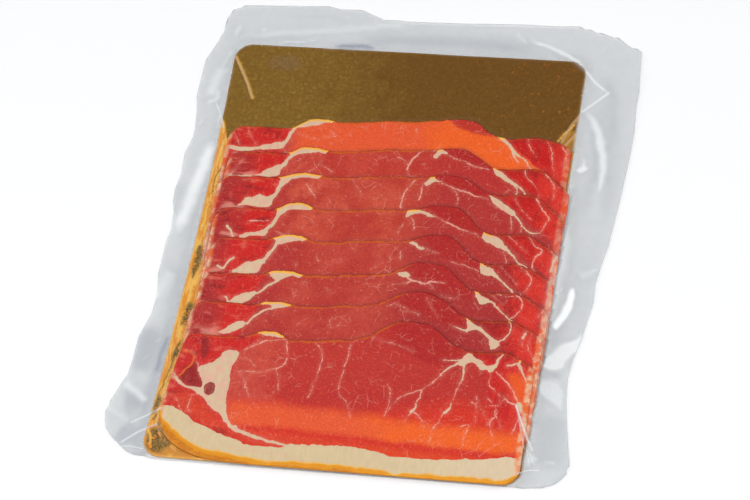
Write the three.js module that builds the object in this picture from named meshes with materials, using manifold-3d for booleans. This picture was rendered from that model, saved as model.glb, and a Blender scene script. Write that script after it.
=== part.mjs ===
// A vacuum pack of eight cured bacon slices, shingled on a gold-faced board inside a clear film pouch.
// Millimetres, +Z up. The pack lies on its back: +X is its right side and +Y its bare gold end.
import * as THREE from "three";
import { mergeVertices } from "three/addons/utils/BufferGeometryUtils.js";
import Module from "manifold-3d";

// Board.
const BOARD_W = 170; // across, measured at its corners
const BOARD_L = 229; // along
const BOARD_T = 1.0;
const BOARD_CORNER_R = 8.5;
const BOARD_DRAW_IN = 2; // the film's pull narrows the left edge by this much at half length
const BOARD_STEPS = { corner: 7, top: 18, side: 22, bottom: 14 }; // parts that each run is drawn in
const EVEN_SHARE = 0.5; // of the spacing along a straight edge; the rest gathers towards its ends

// Slices. All are cut from one piece, so they share an outline that varies a little.
const SLICE_T = 1.0;
const SLICE_GAP = 0.2; // between two slices, and so between their layers
const LAYER = SLICE_T + SLICE_GAP;
const SLICE_H = 61.6; // from the rind edge to the plain stretch of the upper edge
const RIND_SWEEP = { from: -20, span: 59, rise: 14, power: 5 }; // the rind curves up at the left end
const CORNER = { rindLeft: [6, 6], rindRight: [7, 7], left: [6.5, 9], right: [4.5, 4.5] }; // across and along
const FRONT_LEAN = { across: 4.5, along: 40 }; // the uppermost slice's left end leans in
const FAT_CAP = { rises: [-48, -41], ends: [-33, -28] }; // step in the upper edge, capped with fat
const MUSCLE_SLOPE = { rise: 3.2, to: 10 }; // the edge climbs from the cap's end to the main muscle's middle
const MUSCLE_ENDS = [34, 52]; // where the main muscle gives way to the lobe on the right
const HUMP = { leftEnd: 53, rightEnd: 44, power: 3 }; // round top of the main muscle
const LOBE = { starts: [38, 54], crown: 1.5, crownAt: 68, crownWidth: 7, drops: [70, 87] };
// One row for each slice, from the one on the board to the one on top. y is the rind edge, left and right
// are the ends, and cap, middle, hump, lobe and drop are how far the upper edge departs from SLICE_H.
const SLICES = [
  { y: 4, left: -78.6, right: 84.4, cap: 6.5, middle: 8.5, hump: 2.5, humpAt: 31, lobe: 1.5, drop: 2.5 },
  { y: -11.3, left: -75.9, right: 86.7, cap: 4.5, middle: 6.4, hump: 2.1, humpAt: 31, lobe: -1.5, drop: 9 },
  { y: -26.1, left: -77.7, right: 86.2, cap: 4, middle: 5, hump: 2.3, humpAt: 31, lobe: -2, drop: 10 },
  { y: -44.7, left: -75.4, right: 86.7, cap: 4.3, middle: 4.4, hump: 3.8, humpAt: 31, lobe: -6, drop: 7 },
  { y: -61.8, left: -73.6, right: 86.7, cap: 3.4, middle: 3.4, hump: 4.8, humpAt: 31, lobe: -5.5, drop: 6 },
  { y: -81.1, left: -74.6, right: 86.2, cap: 3, middle: 4.6, hump: 7.7, humpAt: 28, lobe: -1.5, drop: 6 },
  { y: -97.1, left: -76.2, right: 85.7, cap: 2.2, middle: 3.8, hump: 8.5, humpAt: 26, lobe: -0.5, drop: 5 },
  { y: -114.6, left: -80, right: 84.1, cap: 3.7, middle: 3.2, hump: 11, humpAt: 25, lobe: 0.5, drop: 4.5 },
];
const END_STATIONS = [0, 0.3, 1, 2.2, 3.7, 5.4]; // distances from a slice's end
const MIDDLE_STATIONS = { inset: 8, steps: 34 };
const STOCK = { side: 120, front: -125, back: 95, under: -2, height: 20 }; // larger than any slice

// Pouch. Its two films are sealed together round the contents and turned under along the rind edge.
const WEB_T = 0.4; // film under the board, with the turned-under end
const FLANGE_T = 0.6; // two films and the air between them
const FIT = 0.4; // clearance round the board
const LAID_GAP = 0.1; // between the web, the board and the first slice
const OVER_BOARD = 0.3; // height of the film over the bare board, at its edge
const WALL_INSET = 0.5; // the film meets the slices' ends this far below their tops
const LEFT_MARGIN = [0, 60]; // the film comes down to the bare board left of these
const BARE_END = [66, 70]; // and beyond these, along the pack
const BRIDGE = 9; // the film needs this run to come down from the contents to the flange
const BRIDGE_SHARE = 0.9; // or this share of the flange, where it is narrow
const SEAL_MIN = 0.9; // width of the film past the board where it is turned under
const REACH = { left: 95.6, right: 104.7, top: 132.7, bottom: 115.9 }; // from the board's centre
const LEFT_SWELLS = [{ by: 10.5, at: -95, over: 18 }, { by: 3.5, at: 93, over: 32 }];
const RIGHT_SWELLS = [{ by: -4.5, at: -63, over: 26 }];
const RIGHT_FLARE = { by: 6.5, between: [-29, 96] };
const TOP_SWELLS = [{ by: 2, at: 78, over: 18 }];
const TOP_STEP = { by: 6.5, between: [-36, -12] };
const CORNER_SHARPNESS = { topLeft: 14, topRight: 13, bottomLeft: 13, bottomRight: 20 };
const MEAT_BULGE = { side: 3.6, back: [48, 66], front: [-104, -84] }; // slices pass the board at the right
const WAVE_H = 2.2; // lift of the flange's free edge
const WAVE_MEAN = 0.5;
const WAVES = [{ share: 0.3, count: 3, phase: 0.6 }, { share: 0.2, count: 7, phase: 2.1 }];
const LIFT_STARTS = 0.15; // share of the flange that lies flat next to the seal
const LIFT_WIDTHS = [3, 14]; // a flange narrower than this does not lift
const FLANGE_RINGS = [0, 0.1, 0.22, 0.36, 0.52, 0.68, 0.84, 1];
const UNDER_RINGS = [1, 0.75, 0.5, 0.25, 0];
const FIRST_RADIUS = 110; // guess that the outline is solved from
const RADIUS_PASSES = 6;
const TINY = 1e-6;

// Looks.
const FILM_LOOK = { color: 0xd6dcdf, roughness: 0.15, metalness: 0, transparent: true, opacity: 0.35 };
const GOLD_LOOK = { color: 0xb5852f, roughness: 0.3, metalness: 0.9 };
const MEAT_LOOK = { color: 0xc2423a, roughness: 0.45, metalness: 0 };

const BOARD_Z = WEB_T + LAID_GAP;
const STACK_Z = BOARD_Z + BOARD_T + LAID_GAP;

const wasm = await Module();
wasm.setup();

const bell = (x, centre, width, power = 2) => Math.exp(-(Math.abs((x - centre) / width) ** power));
const smooth = (from, to, x) => {
  const t = Math.min(1, Math.max(0, (x - from) / (to - from)));
  return t * t * (3 - 2 * t);
};
const swell = (swells, x) => swells.reduce((sum, s) => sum + s.by * bell(x, s.at, s.over), 0);

// How many slices' rind edges lie beyond y, counted in fractions: 8 at the front edge, 1 at the back.
function sliceIndexAt(y) {
  let i = 1;
  while (i < SLICES.length - 1 && SLICES[i].y > y) i++;
  const above = SLICES[i - 1];
  const below = SLICES[i];
  return i + (above.y - y) / (above.y - below.y);
}

// Underside of slice number k (1 is on the board): it climbs one layer for each rind edge that it covers.
const sliceZ = (k, y) => STACK_Z + LAYER * (k - Math.max(1, sliceIndexAt(y)));

// Height of the upper edge over the rind edge, at x: fat cap, main muscle with its hump, then the right lobe.
function upperEdge(slice, x) {
  const climb = smooth(FAT_CAP.ends[1], MUSCLE_SLOPE.to, x);
  const muscle = slice.middle - MUSCLE_SLOPE.rise * (1 - climb);
  const step = slice.cap + (muscle - slice.cap) * smooth(...FAT_CAP.ends, x);
  const between = smooth(...FAT_CAP.rises, x) * (1 - smooth(...MUSCLE_ENDS, x));
  const humpWidth = x < slice.humpAt ? (HUMP.leftEnd - slice.humpAt) / 2 : HUMP.rightEnd - slice.humpAt;
  const hump = slice.hump * bell(x, slice.humpAt, humpWidth, HUMP.power);
  const crown = LOBE.crown * bell(x, LOBE.crownAt, LOBE.crownWidth);
  const lobe = slice.lobe * smooth(...LOBE.starts, x) + crown - slice.drop * smooth(...LOBE.drops, x);
  return SLICE_H + step * between + hump + lobe;
}

const rindEdge = (x) =>
  RIND_SWEEP.rise * (Math.max(0, RIND_SWEEP.from - x) / RIND_SWEEP.span) ** RIND_SWEEP.power;

// How far an edge is rounded away at distance d from an end, by an elliptic corner.
const rounding = ([across, along], d) => along * (1 - Math.sqrt(1 - Math.max(0, 1 - d / across) ** 2));

const leanIn = (d) => FRONT_LEAN.along * Math.max(0, 1 - d / FRONT_LEAN.across);

// Places across a slice that its edges are drawn through, closer together where an end is rounded.
function stations(slice) {
  const { inset, steps } = MIDDLE_STATIONS;
  const first = slice.left + inset;
  const last = slice.right - inset;
  const list = END_STATIONS.map((d) => slice.left + d);
  for (let i = 0; i <= steps; i++) list.push(first + ((last - first) * i) / steps);
  return [...list, ...END_STATIONS.map((d) => slice.right - d).reverse()];
}

function sliceOutline(slice) {
  const topLeft = slice === SLICES.at(-1) ? leanIn : (d) => rounding(CORNER.left, d);
  const xs = stations(slice);
  const rind = xs.map((x) => {
    const corners = rounding(CORNER.rindLeft, x - slice.left) + rounding(CORNER.rindRight, slice.right - x);
    return new THREE.Vector2(x, slice.y + rindEdge(x) + corners);
  });
  const upper = xs.map((x) => {
    const corners = topLeft(x - slice.left) + rounding(CORNER.right, slice.right - x);
    return new THREE.Vector2(x, slice.y + upperEdge(slice, x) - corners);
  });
  return new THREE.Shape([...rind, ...upper.reverse()]);
}

// Section of the whole layer that slice k lies in, along Y, bent at each rind edge that it covers.
function layerSection(k) {
  const ys = [STOCK.front, ...SLICES.map((s) => s.y).reverse(), STOCK.back];
  const under = ys.map((y) => new THREE.Vector2(y, sliceZ(k, y)));
  const over = ys.map((y) => new THREE.Vector2(y, sliceZ(k, y) + SLICE_T)).reverse();
  return new THREE.Shape([...under, ...over]);
}

// The layer's section is drawn in (y, z) and extruded along x.
function makeLayer(k) {
  const layer = new THREE.ExtrudeGeometry(layerSection(k), { depth: 2 * STOCK.side, bevelEnabled: false });
  const alongX = new THREE.Matrix4().makeBasis(
    new THREE.Vector3(0, 1, 0),
    new THREE.Vector3(0, 0, 1),
    new THREE.Vector3(1, 0, 0),
  );
  return layer.applyMatrix4(alongX).translate(-STOCK.side, 0, 0);
}

function toManifold(geometry) {
  const g = geometry.clone();
  g.deleteAttribute("normal");
  g.deleteAttribute("uv");
  const merged = mergeVertices(g, 1e-4);
  return new wasm.Manifold(
    new wasm.Mesh({
      numProp: 3,
      vertProperties: merged.attributes.position.array,
      triVerts: new Uint32Array(merged.index.array),
    }),
  );
}

function toGeometry(solid) {
  const mesh = solid.getMesh();
  const geometry = new THREE.BufferGeometry();
  geometry.setAttribute("position", new THREE.BufferAttribute(mesh.vertProperties, 3));
  geometry.setIndex(new THREE.BufferAttribute(mesh.triVerts, 1));
  geometry.computeVertexNormals();
  return geometry;
}

function makeSlice(slice, k) {
  const column = new THREE.ExtrudeGeometry(sliceOutline(slice), { depth: STOCK.height, bevelEnabled: false });
  column.translate(0, 0, STOCK.under);
  return toGeometry(toManifold(column).intersect(toManifold(makeLayer(k))));
}

// The board's outline grown by `grow`, its right side moved out by bulge(y).
function boardOutline(grow, bulge = () => 0) {
  const r = BOARD_CORNER_R;
  const w = BOARD_W / 2;
  const l = BOARD_L / 2;
  const points = [];
  const corner = (cx, cy, from) => {
    for (let i = 0; i <= BOARD_STEPS.corner; i++) {
      const a = from + (Math.PI / 2) * (i / BOARD_STEPS.corner);
      points.push([cx + (r + grow) * Math.cos(a), cy + (r + grow) * Math.sin(a)]);
    }
  };
  const straight = (x0, y0, x1, y1, steps) => {
    for (let i = 1; i < steps; i++) {
      const even = i / steps;
      const gathered = (1 - Math.cos(Math.PI * even)) / 2;
      const t = EVEN_SHARE * even + (1 - EVEN_SHARE) * gathered;
      points.push([x0 + (x1 - x0) * t, y0 + (y1 - y0) * t]);
    }
  };
  corner(w - r, l - r, 0);
  straight(w - r, l + grow, r - w, l + grow, BOARD_STEPS.top);
  corner(r - w, l - r, Math.PI / 2);
  straight(-w - grow, l - r, -w - grow, r - l, BOARD_STEPS.side);
  corner(r - w, r - l, Math.PI);
  straight(r - w, -l - grow, w - r, -l - grow, BOARD_STEPS.bottom);
  corner(w - r, r - l, -Math.PI / 2);
  straight(w + grow, r - l, w + grow, l - r, BOARD_STEPS.side);
  return points.map(([x, y]) => {
    const middle = 1 - Math.min(1, Math.abs(y) / (l - r)) ** 2;
    const shift = x < 0 ? BOARD_DRAW_IN * middle * smooth(w - r, w, -x) : bulge(y) * smooth(w - r, w, x);
    return new THREE.Vector2(x + shift, y);
  });
}

function makeBoard() {
  const shape = new THREE.Shape(boardOutline(0));
  const board = new THREE.ExtrudeGeometry(shape, { depth: BOARD_T, bevelEnabled: false });
  return board.translate(0, 0, BOARD_Z);
}

const meatBulge = (y) =>
  MEAT_BULGE.side * (1 - smooth(...MEAT_BULGE.back, y)) * smooth(...MEAT_BULGE.front, y);

// How far the pouch reaches to each side. The free film is uneven, and wider at its corners.
const leftReach = (y) => REACH.left + swell(LEFT_SWELLS, y);
const rightReach = (y) =>
  REACH.right + RIGHT_FLARE.by * smooth(...RIGHT_FLARE.between, y) + swell(RIGHT_SWELLS, y);
const topReach = (x) => REACH.top + TOP_STEP.by * (1 - smooth(...TOP_STEP.between, x)) + swell(TOP_SWELLS, x);

// Distance from the centre to the pouch's outer edge: a rounded rectangle with a sharpness for each corner.
function outerRadius(angle) {
  const c = Math.cos(angle);
  const s = Math.sin(angle);
  const sideways = (r) => (c < 0 ? leftReach(r * s) : rightReach(r * s)) / Math.max(TINY, Math.abs(c));
  const lengthways = (r) => (s < 0 ? REACH.bottom : topReach(r * c)) / Math.max(TINY, Math.abs(s));
  const upper = c < 0 ? CORNER_SHARPNESS.topLeft : CORNER_SHARPNESS.topRight;
  const lower = c < 0 ? CORNER_SHARPNESS.bottomLeft : CORNER_SHARPNESS.bottomRight;
  const p = s < 0 ? lower : upper;
  let r = FIRST_RADIUS;
  for (let i = 0; i < RADIUS_PASSES; i++) r = (sideways(r) ** -p + lengthways(r) ** -p) ** (-1 / p);
  return r;
}

// Top of the slices under the film, at y.
function stackTop(y) {
  const covering = SLICES.map((slice, i) => (y >= slice.y && y <= slice.y + SLICE_H ? i + 1 : 0));
  const uppermost = Math.max(...covering);
  return (uppermost ? sliceZ(uppermost, y) : STACK_Z - LAYER) + SLICE_T;
}

// Height of the film where it leaves the contents.
function wallHeight(x, y) {
  const board = BOARD_Z + BOARD_T + OVER_BOARD;
  const meat = stackTop(y) - WALL_INSET;
  return board + Math.max(0, meat - board) * smooth(...LEFT_MARGIN, x) * (1 - smooth(...BARE_END, y));
}

// Lift of the flange's free edge, in slow waves.
const edgeWave = (angle) =>
  WAVE_H * WAVES.reduce((sum, w) => sum + w.share * Math.sin(w.count * angle + w.phase), WAVE_MEAN);

// One ray from the centre through each point of the pocket's outline, with its wall and its outer edge.
function makeRays() {
  return boardOutline(FIT, meatBulge).map((point) => {
    const angle = point.angle();
    const inner = point.length();
    const width = Math.max(SEAL_MIN, outerRadius(angle) - inner);
    return { inner, width, c: Math.cos(angle), s: Math.sin(angle), wave: edgeWave(angle) };
  });
}

const flangeUnder = (ray, share) =>
  ray.wave * smooth(LIFT_STARTS, 1, share) * smooth(...LIFT_WIDTHS, ray.width);

function flangeTop(ray, share) {
  const wall = wallHeight(ray.inner * ray.c, ray.inner * ray.s);
  const bridge = Math.min(BRIDGE, BRIDGE_SHARE * ray.width);
  const fall = 1 - smooth(0, bridge, ray.width * share);
  return FLANGE_T + Math.max(0, flangeUnder(ray, share) + (wall - FLANGE_T) * fall);
}

// A closed skin through rings of points: under the flange, over its edge, and down into the pocket.
function makePouch() {
  const rays = makeRays();
  const ring = (height, share) =>
    rays.map((ray) => {
      const r = ray.inner + ray.width * share;
      return [r * ray.c, r * ray.s, height(ray, share)];
    });
  const rings = [
    ...UNDER_RINGS.map((share) => ring(flangeUnder, share)).reverse(),
    ...FLANGE_RINGS.map((share) => ring(flangeTop, share)).reverse(),
    ring(() => WEB_T, 0),
  ];
  const points = [[0, 0, 0], ...rings.flat(), [0, 0, WEB_T]];
  const around = rays.length;
  const at = (ringIndex, i) => 1 + ringIndex * around + (i % around);
  const last = points.length - 1;
  const faces = [];
  for (let i = 0; i < around; i++) {
    faces.push(0, at(0, i + 1), at(0, i));
    for (let j = 0; j < rings.length - 1; j++) {
      faces.push(at(j, i), at(j, i + 1), at(j + 1, i + 1));
      faces.push(at(j, i), at(j + 1, i + 1), at(j + 1, i));
    }
    faces.push(last, at(rings.length - 1, i), at(rings.length - 1, i + 1));
  }
  const geometry = new THREE.BufferGeometry();
  geometry.setAttribute("position", new THREE.BufferAttribute(new Float32Array(points.flat()), 3));
  geometry.setIndex(faces);
  geometry.computeVertexNormals();
  return geometry;
}

function named(name, geometry, look) {
  const mesh = new THREE.Mesh(geometry, new THREE.MeshStandardMaterial(look));
  mesh.name = name;
  return mesh;
}

const pack = new THREE.Group();
pack.add(named("film_pouch", makePouch(), FILM_LOOK));
pack.add(named("gold_board", makeBoard(), GOLD_LOOK));
SLICES.forEach((slice, i) => pack.add(named(`slice_${i + 1}`, makeSlice(slice, i + 1), MEAT_LOOK)));

// The part's origin is the middle of its footprint, on the surface that it lies on.
const box = new THREE.Box3().setFromObject(pack);
pack.children.forEach((mesh) => {
  mesh.position.set(-(box.min.x + box.max.x) / 2, -(box.min.y + box.max.y) / 2, -box.min.z);
});

export default pack;
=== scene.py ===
"""Looks of a vacuum pack of bacon: eight slices shingled on a gold-faced board in a clear film pouch.

Sizes are in millimetres from the middle of the board, with z = 0 on the floor, until a mesh is made.
+X is the pack's right side and +Y its bare gold end.
"""
import math

import bmesh
import bpy
import numpy as np
from mathutils import Matrix, Vector


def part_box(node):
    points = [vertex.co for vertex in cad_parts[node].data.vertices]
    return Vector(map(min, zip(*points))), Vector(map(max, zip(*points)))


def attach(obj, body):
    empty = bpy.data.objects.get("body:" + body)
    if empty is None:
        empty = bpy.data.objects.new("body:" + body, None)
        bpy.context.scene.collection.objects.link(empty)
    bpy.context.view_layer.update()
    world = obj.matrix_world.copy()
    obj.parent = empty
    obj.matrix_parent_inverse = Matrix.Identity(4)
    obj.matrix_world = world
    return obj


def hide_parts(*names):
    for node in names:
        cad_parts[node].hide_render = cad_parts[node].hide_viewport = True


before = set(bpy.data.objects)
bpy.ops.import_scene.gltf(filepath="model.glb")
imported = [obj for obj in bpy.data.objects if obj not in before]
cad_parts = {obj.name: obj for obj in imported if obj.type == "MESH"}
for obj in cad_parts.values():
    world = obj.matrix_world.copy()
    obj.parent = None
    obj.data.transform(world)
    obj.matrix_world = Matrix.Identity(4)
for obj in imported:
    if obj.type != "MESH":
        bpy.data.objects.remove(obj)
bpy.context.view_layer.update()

MM = 0.001

# ---------------------------------------------------------------- what the CAD says

low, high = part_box("gold_board")
BOARD_CENTRE = np.array([(low.x + high.x) / 2, (low.y + high.y) / 2, 0]) / MM
BOARD_W, BOARD_L = (high.x - low.x) / MM, (high.y - low.y) / MM
BOARD_LOW, BOARD_TOP = low.z / MM, high.z / MM


def node_points(name):
    """A CAD node's corners in millimetres from the board's middle."""
    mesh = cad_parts[name].data
    co = np.zeros(len(mesh.vertices) * 3, np.float32)
    mesh.vertices.foreach_get("co", co)
    return co.reshape(-1, 3) / MM - BOARD_CENTRE


SLICE_NODES = [f"slice_{k}" for k in range(1, 9)]
SLICE_POINTS = [node_points(name) for name in SLICE_NODES]
RIND_Y = np.array([p[:, 1].min() for p in SLICE_POINTS])  # each slice's rind edge
SLICE_T = np.ptp(SLICE_POINTS[0][:, 2])
LAYER = np.ptp(SLICE_POINTS[1][:, 2]) - SLICE_T  # thickness and gap of one layer
STACK_Z = SLICE_POINTS[0][:, 2].min()

# ---------------------------------------------------------------- numbers on grids


def smooth(a, b, x):
    """0 where x is at a or before it, 1 from b on, and a soft step between."""
    t = np.clip((x - a) / (b - a), 0, 1)
    return t * t * (3 - 2 * t)


def bell(x, centre, width):
    """1 at the centre, falling off to both sides."""
    return np.exp(-(((x - centre) / width) ** 2))


def hashed(ix, iy, seed):
    """A number from -1 to 1 for each whole-number place."""
    n = (ix * 374761393 + iy * 668265263 + seed * 974634777) & 0xFFFFFFFF
    n = ((n ^ (n >> 13)) * 1274126177) & 0xFFFFFFFF
    return ((n ^ (n >> 16)) & 0xFFFF) / 32767.5 - 1


def noise(x, y, size, seed):
    """Smooth noise from -1 to 1 with bumps about `size` across."""
    x, y = np.asarray(x) / size, np.asarray(y) / size
    ix, iy = np.floor(x).astype(np.int64), np.floor(y).astype(np.int64)
    fx, fy = smooth(0, 1, x - ix), smooth(0, 1, y - iy)
    low = hashed(ix, iy, seed) * (1 - fx) + hashed(ix + 1, iy, seed) * fx
    high = hashed(ix, iy + 1, seed) * (1 - fx) + hashed(ix + 1, iy + 1, seed) * fx
    return low * (1 - fy) + high * fy


def rough_noise(x, y, size, seed, octaves=3):
    """Noise with finer noise added to it."""
    return sum(noise(x, y, size / 2**i, seed + i) / 2**i for i in range(octaves)) / 1.75


def rounded(points, closed=False, steps=4):
    """The points with curved runs between them (Catmull-Rom)."""
    p = np.array(points, float)
    n = len(p)
    if n < 3:
        return p
    i = np.arange(n if closed else n - 1)
    take = (lambda j: p[j % n]) if closed else (lambda j: p[np.clip(j, 0, n - 1)])
    a, b, c, d = take(i - 1), take(i), take(i + 1), take(i + 2)
    out = []
    for s in range(steps):
        t = s / steps
        q = 2 * b + (c - a) * t + (2 * a - 5 * b + 4 * c - d) * t**2 + (3 * b - a - 3 * c + d) * t**3
        out.append(q / 2)
    out = np.stack(out, 1).reshape(-1, p.shape[1])
    return out if closed else np.vstack([out, p[-1:]])


def line_distance(x, y, path):
    """Distance to a path, and how far along it (0 to 1) the nearest point is."""
    best, along = np.full(x.shape, 1e9), np.zeros(x.shape)
    lengths = np.hypot(*np.diff(path[:, :2], axis=0).T)
    total, run = max(lengths.sum(), 1e-9), 0.0
    for (x0, y0), (x1, y1), length in zip(path[:-1, :2], path[1:, :2], lengths):
        t = ((x - x0) * (x1 - x0) + (y - y0) * (y1 - y0)) / max(length**2, 1e-9)
        t = np.clip(t, 0, 1)
        d = np.hypot(x - x0 - t * (x1 - x0), y - y0 - t * (y1 - y0))
        nearer = d < best
        best = np.where(nearer, d, best)
        along = np.where(nearer, (run + t * length) / total, along)
        run += length
    return best, along


def inside(x, y, path):
    """Which places lie inside a closed path."""
    hit = np.zeros(x.shape, bool)
    for (x0, y0), (x1, y1) in zip(path, np.roll(path, -1, 0)):
        if y0 != y1:
            crosses = (y0 > y) != (y1 > y)
            hit ^= crosses & (x < (x1 - x0) * (y - y0) / (y1 - y0) + x0)
    return hit


def near(x, y, path, margin):
    """The places within `margin` of a path's box, as a mask, so that far ones can be skipped."""
    (x0, y0), (x1, y1) = path[:, :2].min(0) - margin, path[:, :2].max(0) + margin
    return (x > x0) & (x < x1) & (y > y0) & (y < y1)


END_FADE = 0.22  # a streak fades over this share of its length at each end
SOFT = 0.8  # a mark's mask runs from 0 to 1 over this many millimetres, and is 0.5 on its edge


def stroke(mask, x, y, points, start, end, strength=1.0, soft=SOFT):
    """Raises the mask along a path whose width goes from start to end."""
    path = rounded(points)
    m = near(x, y, path, 3 + max(start, end))
    if m.any():
        d, along = line_distance(x[m], y[m], path)
        width = start + (end - start) * along
        new = np.clip(0.5 + (width / 2 - d) / soft, 0, 1) * strength
        mask[m] = np.maximum(mask[m], new)


def streak(mask, x, y, points, start, end, strength):
    """Raises the mask along a path softly, fading to both sides and at both ends."""
    path = rounded(points)
    m = near(x, y, path, 1.5 * max(start, end))
    if m.any():
        d, along = line_distance(x[m], y[m], path)
        width = start + (end - start) * along
        fade = smooth(0, END_FADE, along) * smooth(1, 1 - END_FADE, along)
        mask[m] = np.maximum(mask[m], strength * fade * bell(d, 0, 0.6 * width))


def patch(mask, x, y, points, strength=1.0, soft=SOFT):
    """Raises the mask inside a closed outline."""
    path = rounded(points, closed=True)
    m = near(x, y, path, 4)
    if m.any():
        d, _ = line_distance(x[m], y[m], np.vstack([path, path[:1]]))
        signed = np.where(inside(x[m], y[m], path), d, -d)
        new = np.clip(0.5 + signed / soft, 0, 1) * strength
        mask[m] = np.maximum(mask[m], new)


# ---------------------------------------------------------------- meshes


def make_object(name, points, faces, masks=None, shade=True):
    """A mesh from points in millimetres, with a float attribute for each mask."""
    mesh = bpy.data.meshes.new(name)
    co = (np.asarray(points, float) + BOARD_CENTRE) * MM
    mesh.from_pydata(co.tolist(), [], faces)
    bm = bmesh.new()
    bm.from_mesh(mesh)
    bmesh.ops.recalc_face_normals(bm, faces=bm.faces)
    bm.to_mesh(mesh)
    bm.free()
    mesh.polygons.foreach_set("use_smooth", [shade] * len(mesh.polygons))
    for key, values in (masks or {}).items():
        attribute = mesh.attributes.new(key, "FLOAT", "POINT")
        attribute.data.foreach_set("value", np.asarray(values, np.float32))
    obj = bpy.data.objects.new(name, mesh)
    bpy.context.scene.collection.objects.link(obj)
    return obj


def grid_faces(ni, nj, first=0):
    """The squares of a grid of ni by nj vertices, whose first has the number `first`."""
    i, j = np.meshgrid(np.arange(ni - 1), np.arange(nj - 1), indexing="ij")
    a = (first + i * nj + j).ravel()
    return np.stack([a, a + nj, a + nj + 1, a + 1], 1).tolist()


def zipper(a, ta, b, tb):
    """Triangles between two rows of vertices whose places along the row are ta and tb."""
    faces, i, j = [], 0, 0
    while i < len(a) - 1 or j < len(b) - 1:
        if j == len(b) - 1 or (i < len(a) - 1 and ta[i + 1] <= tb[j + 1]):
            faces.append([a[i], a[i + 1], b[j]])
            i += 1
        else:
            faces.append([a[i], b[j + 1], b[j]])
            j += 1
    return faces


def closed_sheet(name, top, under, masks=None):
    """One closed body from a top grid and a coarser under grid with the same first and last columns.

    Both are arrays of points, (columns, rows, 3). Their rims are joined by walls.
    """
    ni, nj, mi, mj = top.shape[0], top.shape[1], under.shape[0], under.shape[1]
    points = np.vstack([top.reshape(-1, 3), under.reshape(-1, 3)])
    first = ni * nj
    faces = grid_faces(ni, nj) + grid_faces(mi, mj, first)
    upper, lower = np.arange(ni * nj).reshape(ni, nj), first + np.arange(mi * mj).reshape(mi, mj)
    for a, b, p, q in (
        (upper[0], lower[0], top[0], under[0]),
        (upper[-1], lower[-1], top[-1], under[-1]),
        (upper[:, 0], lower[:, 0], top[:, 0], under[:, 0]),
        (upper[:, -1], lower[:, -1], top[:, -1], under[:, -1]),
    ):
        axis = int(np.argmax(np.ptp(q[:, :2], axis=0)))
        faces += zipper(a.tolist(), p[:, axis], b.tolist(), q[:, axis])
    filled = {}
    for key, values in (masks or {}).items():
        filled[key] = np.concatenate([values.ravel(), np.zeros(mi * mj)])
    return make_object(name, points, faces, filled)


def rounded_drop(rim, radius):
    """How far a surface with a rounded edge lies below its level at a distance from the rim."""
    return radius * (1 - np.sqrt(1 - (1 - np.clip(rim / radius, 0, 1)) ** 2))


# ---------------------------------------------------------------- camera

CAMERA_AIM = Vector((1.67, 1.24, BOARD_TOP))
CAMERA_DISTANCE = 1375
CAMERA_AZIMUTH, CAMERA_ELEVATION, CAMERA_ROLL = (math.radians(a) for a in (20.56, 55.2, -13.29))
CAMERA_LENS = 144.8
SENSOR = 36

out_to_camera = Vector(
    (
        math.sin(CAMERA_AZIMUTH) * math.cos(CAMERA_ELEVATION),
        -math.cos(CAMERA_AZIMUTH) * math.cos(CAMERA_ELEVATION),
        math.sin(CAMERA_ELEVATION),
    )
)
CAMERA_AT = CAMERA_AIM + CAMERA_DISTANCE * out_to_camera


def make_camera():
    data = bpy.data.cameras.new("camera")
    data.lens, data.sensor_width, data.sensor_fit = CAMERA_LENS, SENSOR, "HORIZONTAL"
    data.clip_start, data.clip_end = 0.01, 20
    camera = bpy.data.objects.new("camera", data)
    level = out_to_camera.to_track_quat("Z", "Y").to_matrix()
    turn = level @ Matrix.Rotation(CAMERA_ROLL, 3, "Z")
    place = (CAMERA_AT + Vector(BOARD_CENTRE)) * MM
    camera.matrix_world = Matrix.Translation(place) @ turn.to_4x4()
    bpy.context.scene.collection.objects.link(camera)
    bpy.context.scene.camera = camera


# The marks are placed by where they seem to lie on this plane, looking from the camera.
READING_Z = BOARD_TOP + 2


def as_read(x, y, z):
    """Where the line of sight through a point meets the reading plane."""
    s = (CAMERA_AT.z - READING_Z) / (CAMERA_AT.z - z)
    return CAMERA_AT.x + (x - CAMERA_AT.x) * s, CAMERA_AT.y + (y - CAMERA_AT.y) * s


def on_level(points, z):
    """The places at height z that are seen at the given places of the reading plane."""
    p = np.array(points, float)
    s = (CAMERA_AT.z - z) / (CAMERA_AT.z - READING_Z)
    return np.array([CAMERA_AT.x, CAMERA_AT.y]) * (1 - s) + p * s


# ---------------------------------------------------------------- the slices' marks
# For each slice, from the one on the board to the one on top: "fat" holds closed outlines of white fat,
# "seams" the fat strokes between muscles as (start width, end width, path), "veins" the same for thin
# pale ones, and "crimson" the lower edge of the dark red muscle in the hump. The one on top also has
# "holes" in its fat, "dark" outlines of meat and a "rust" stroke. All are (x, y) on the reading plane.

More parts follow.
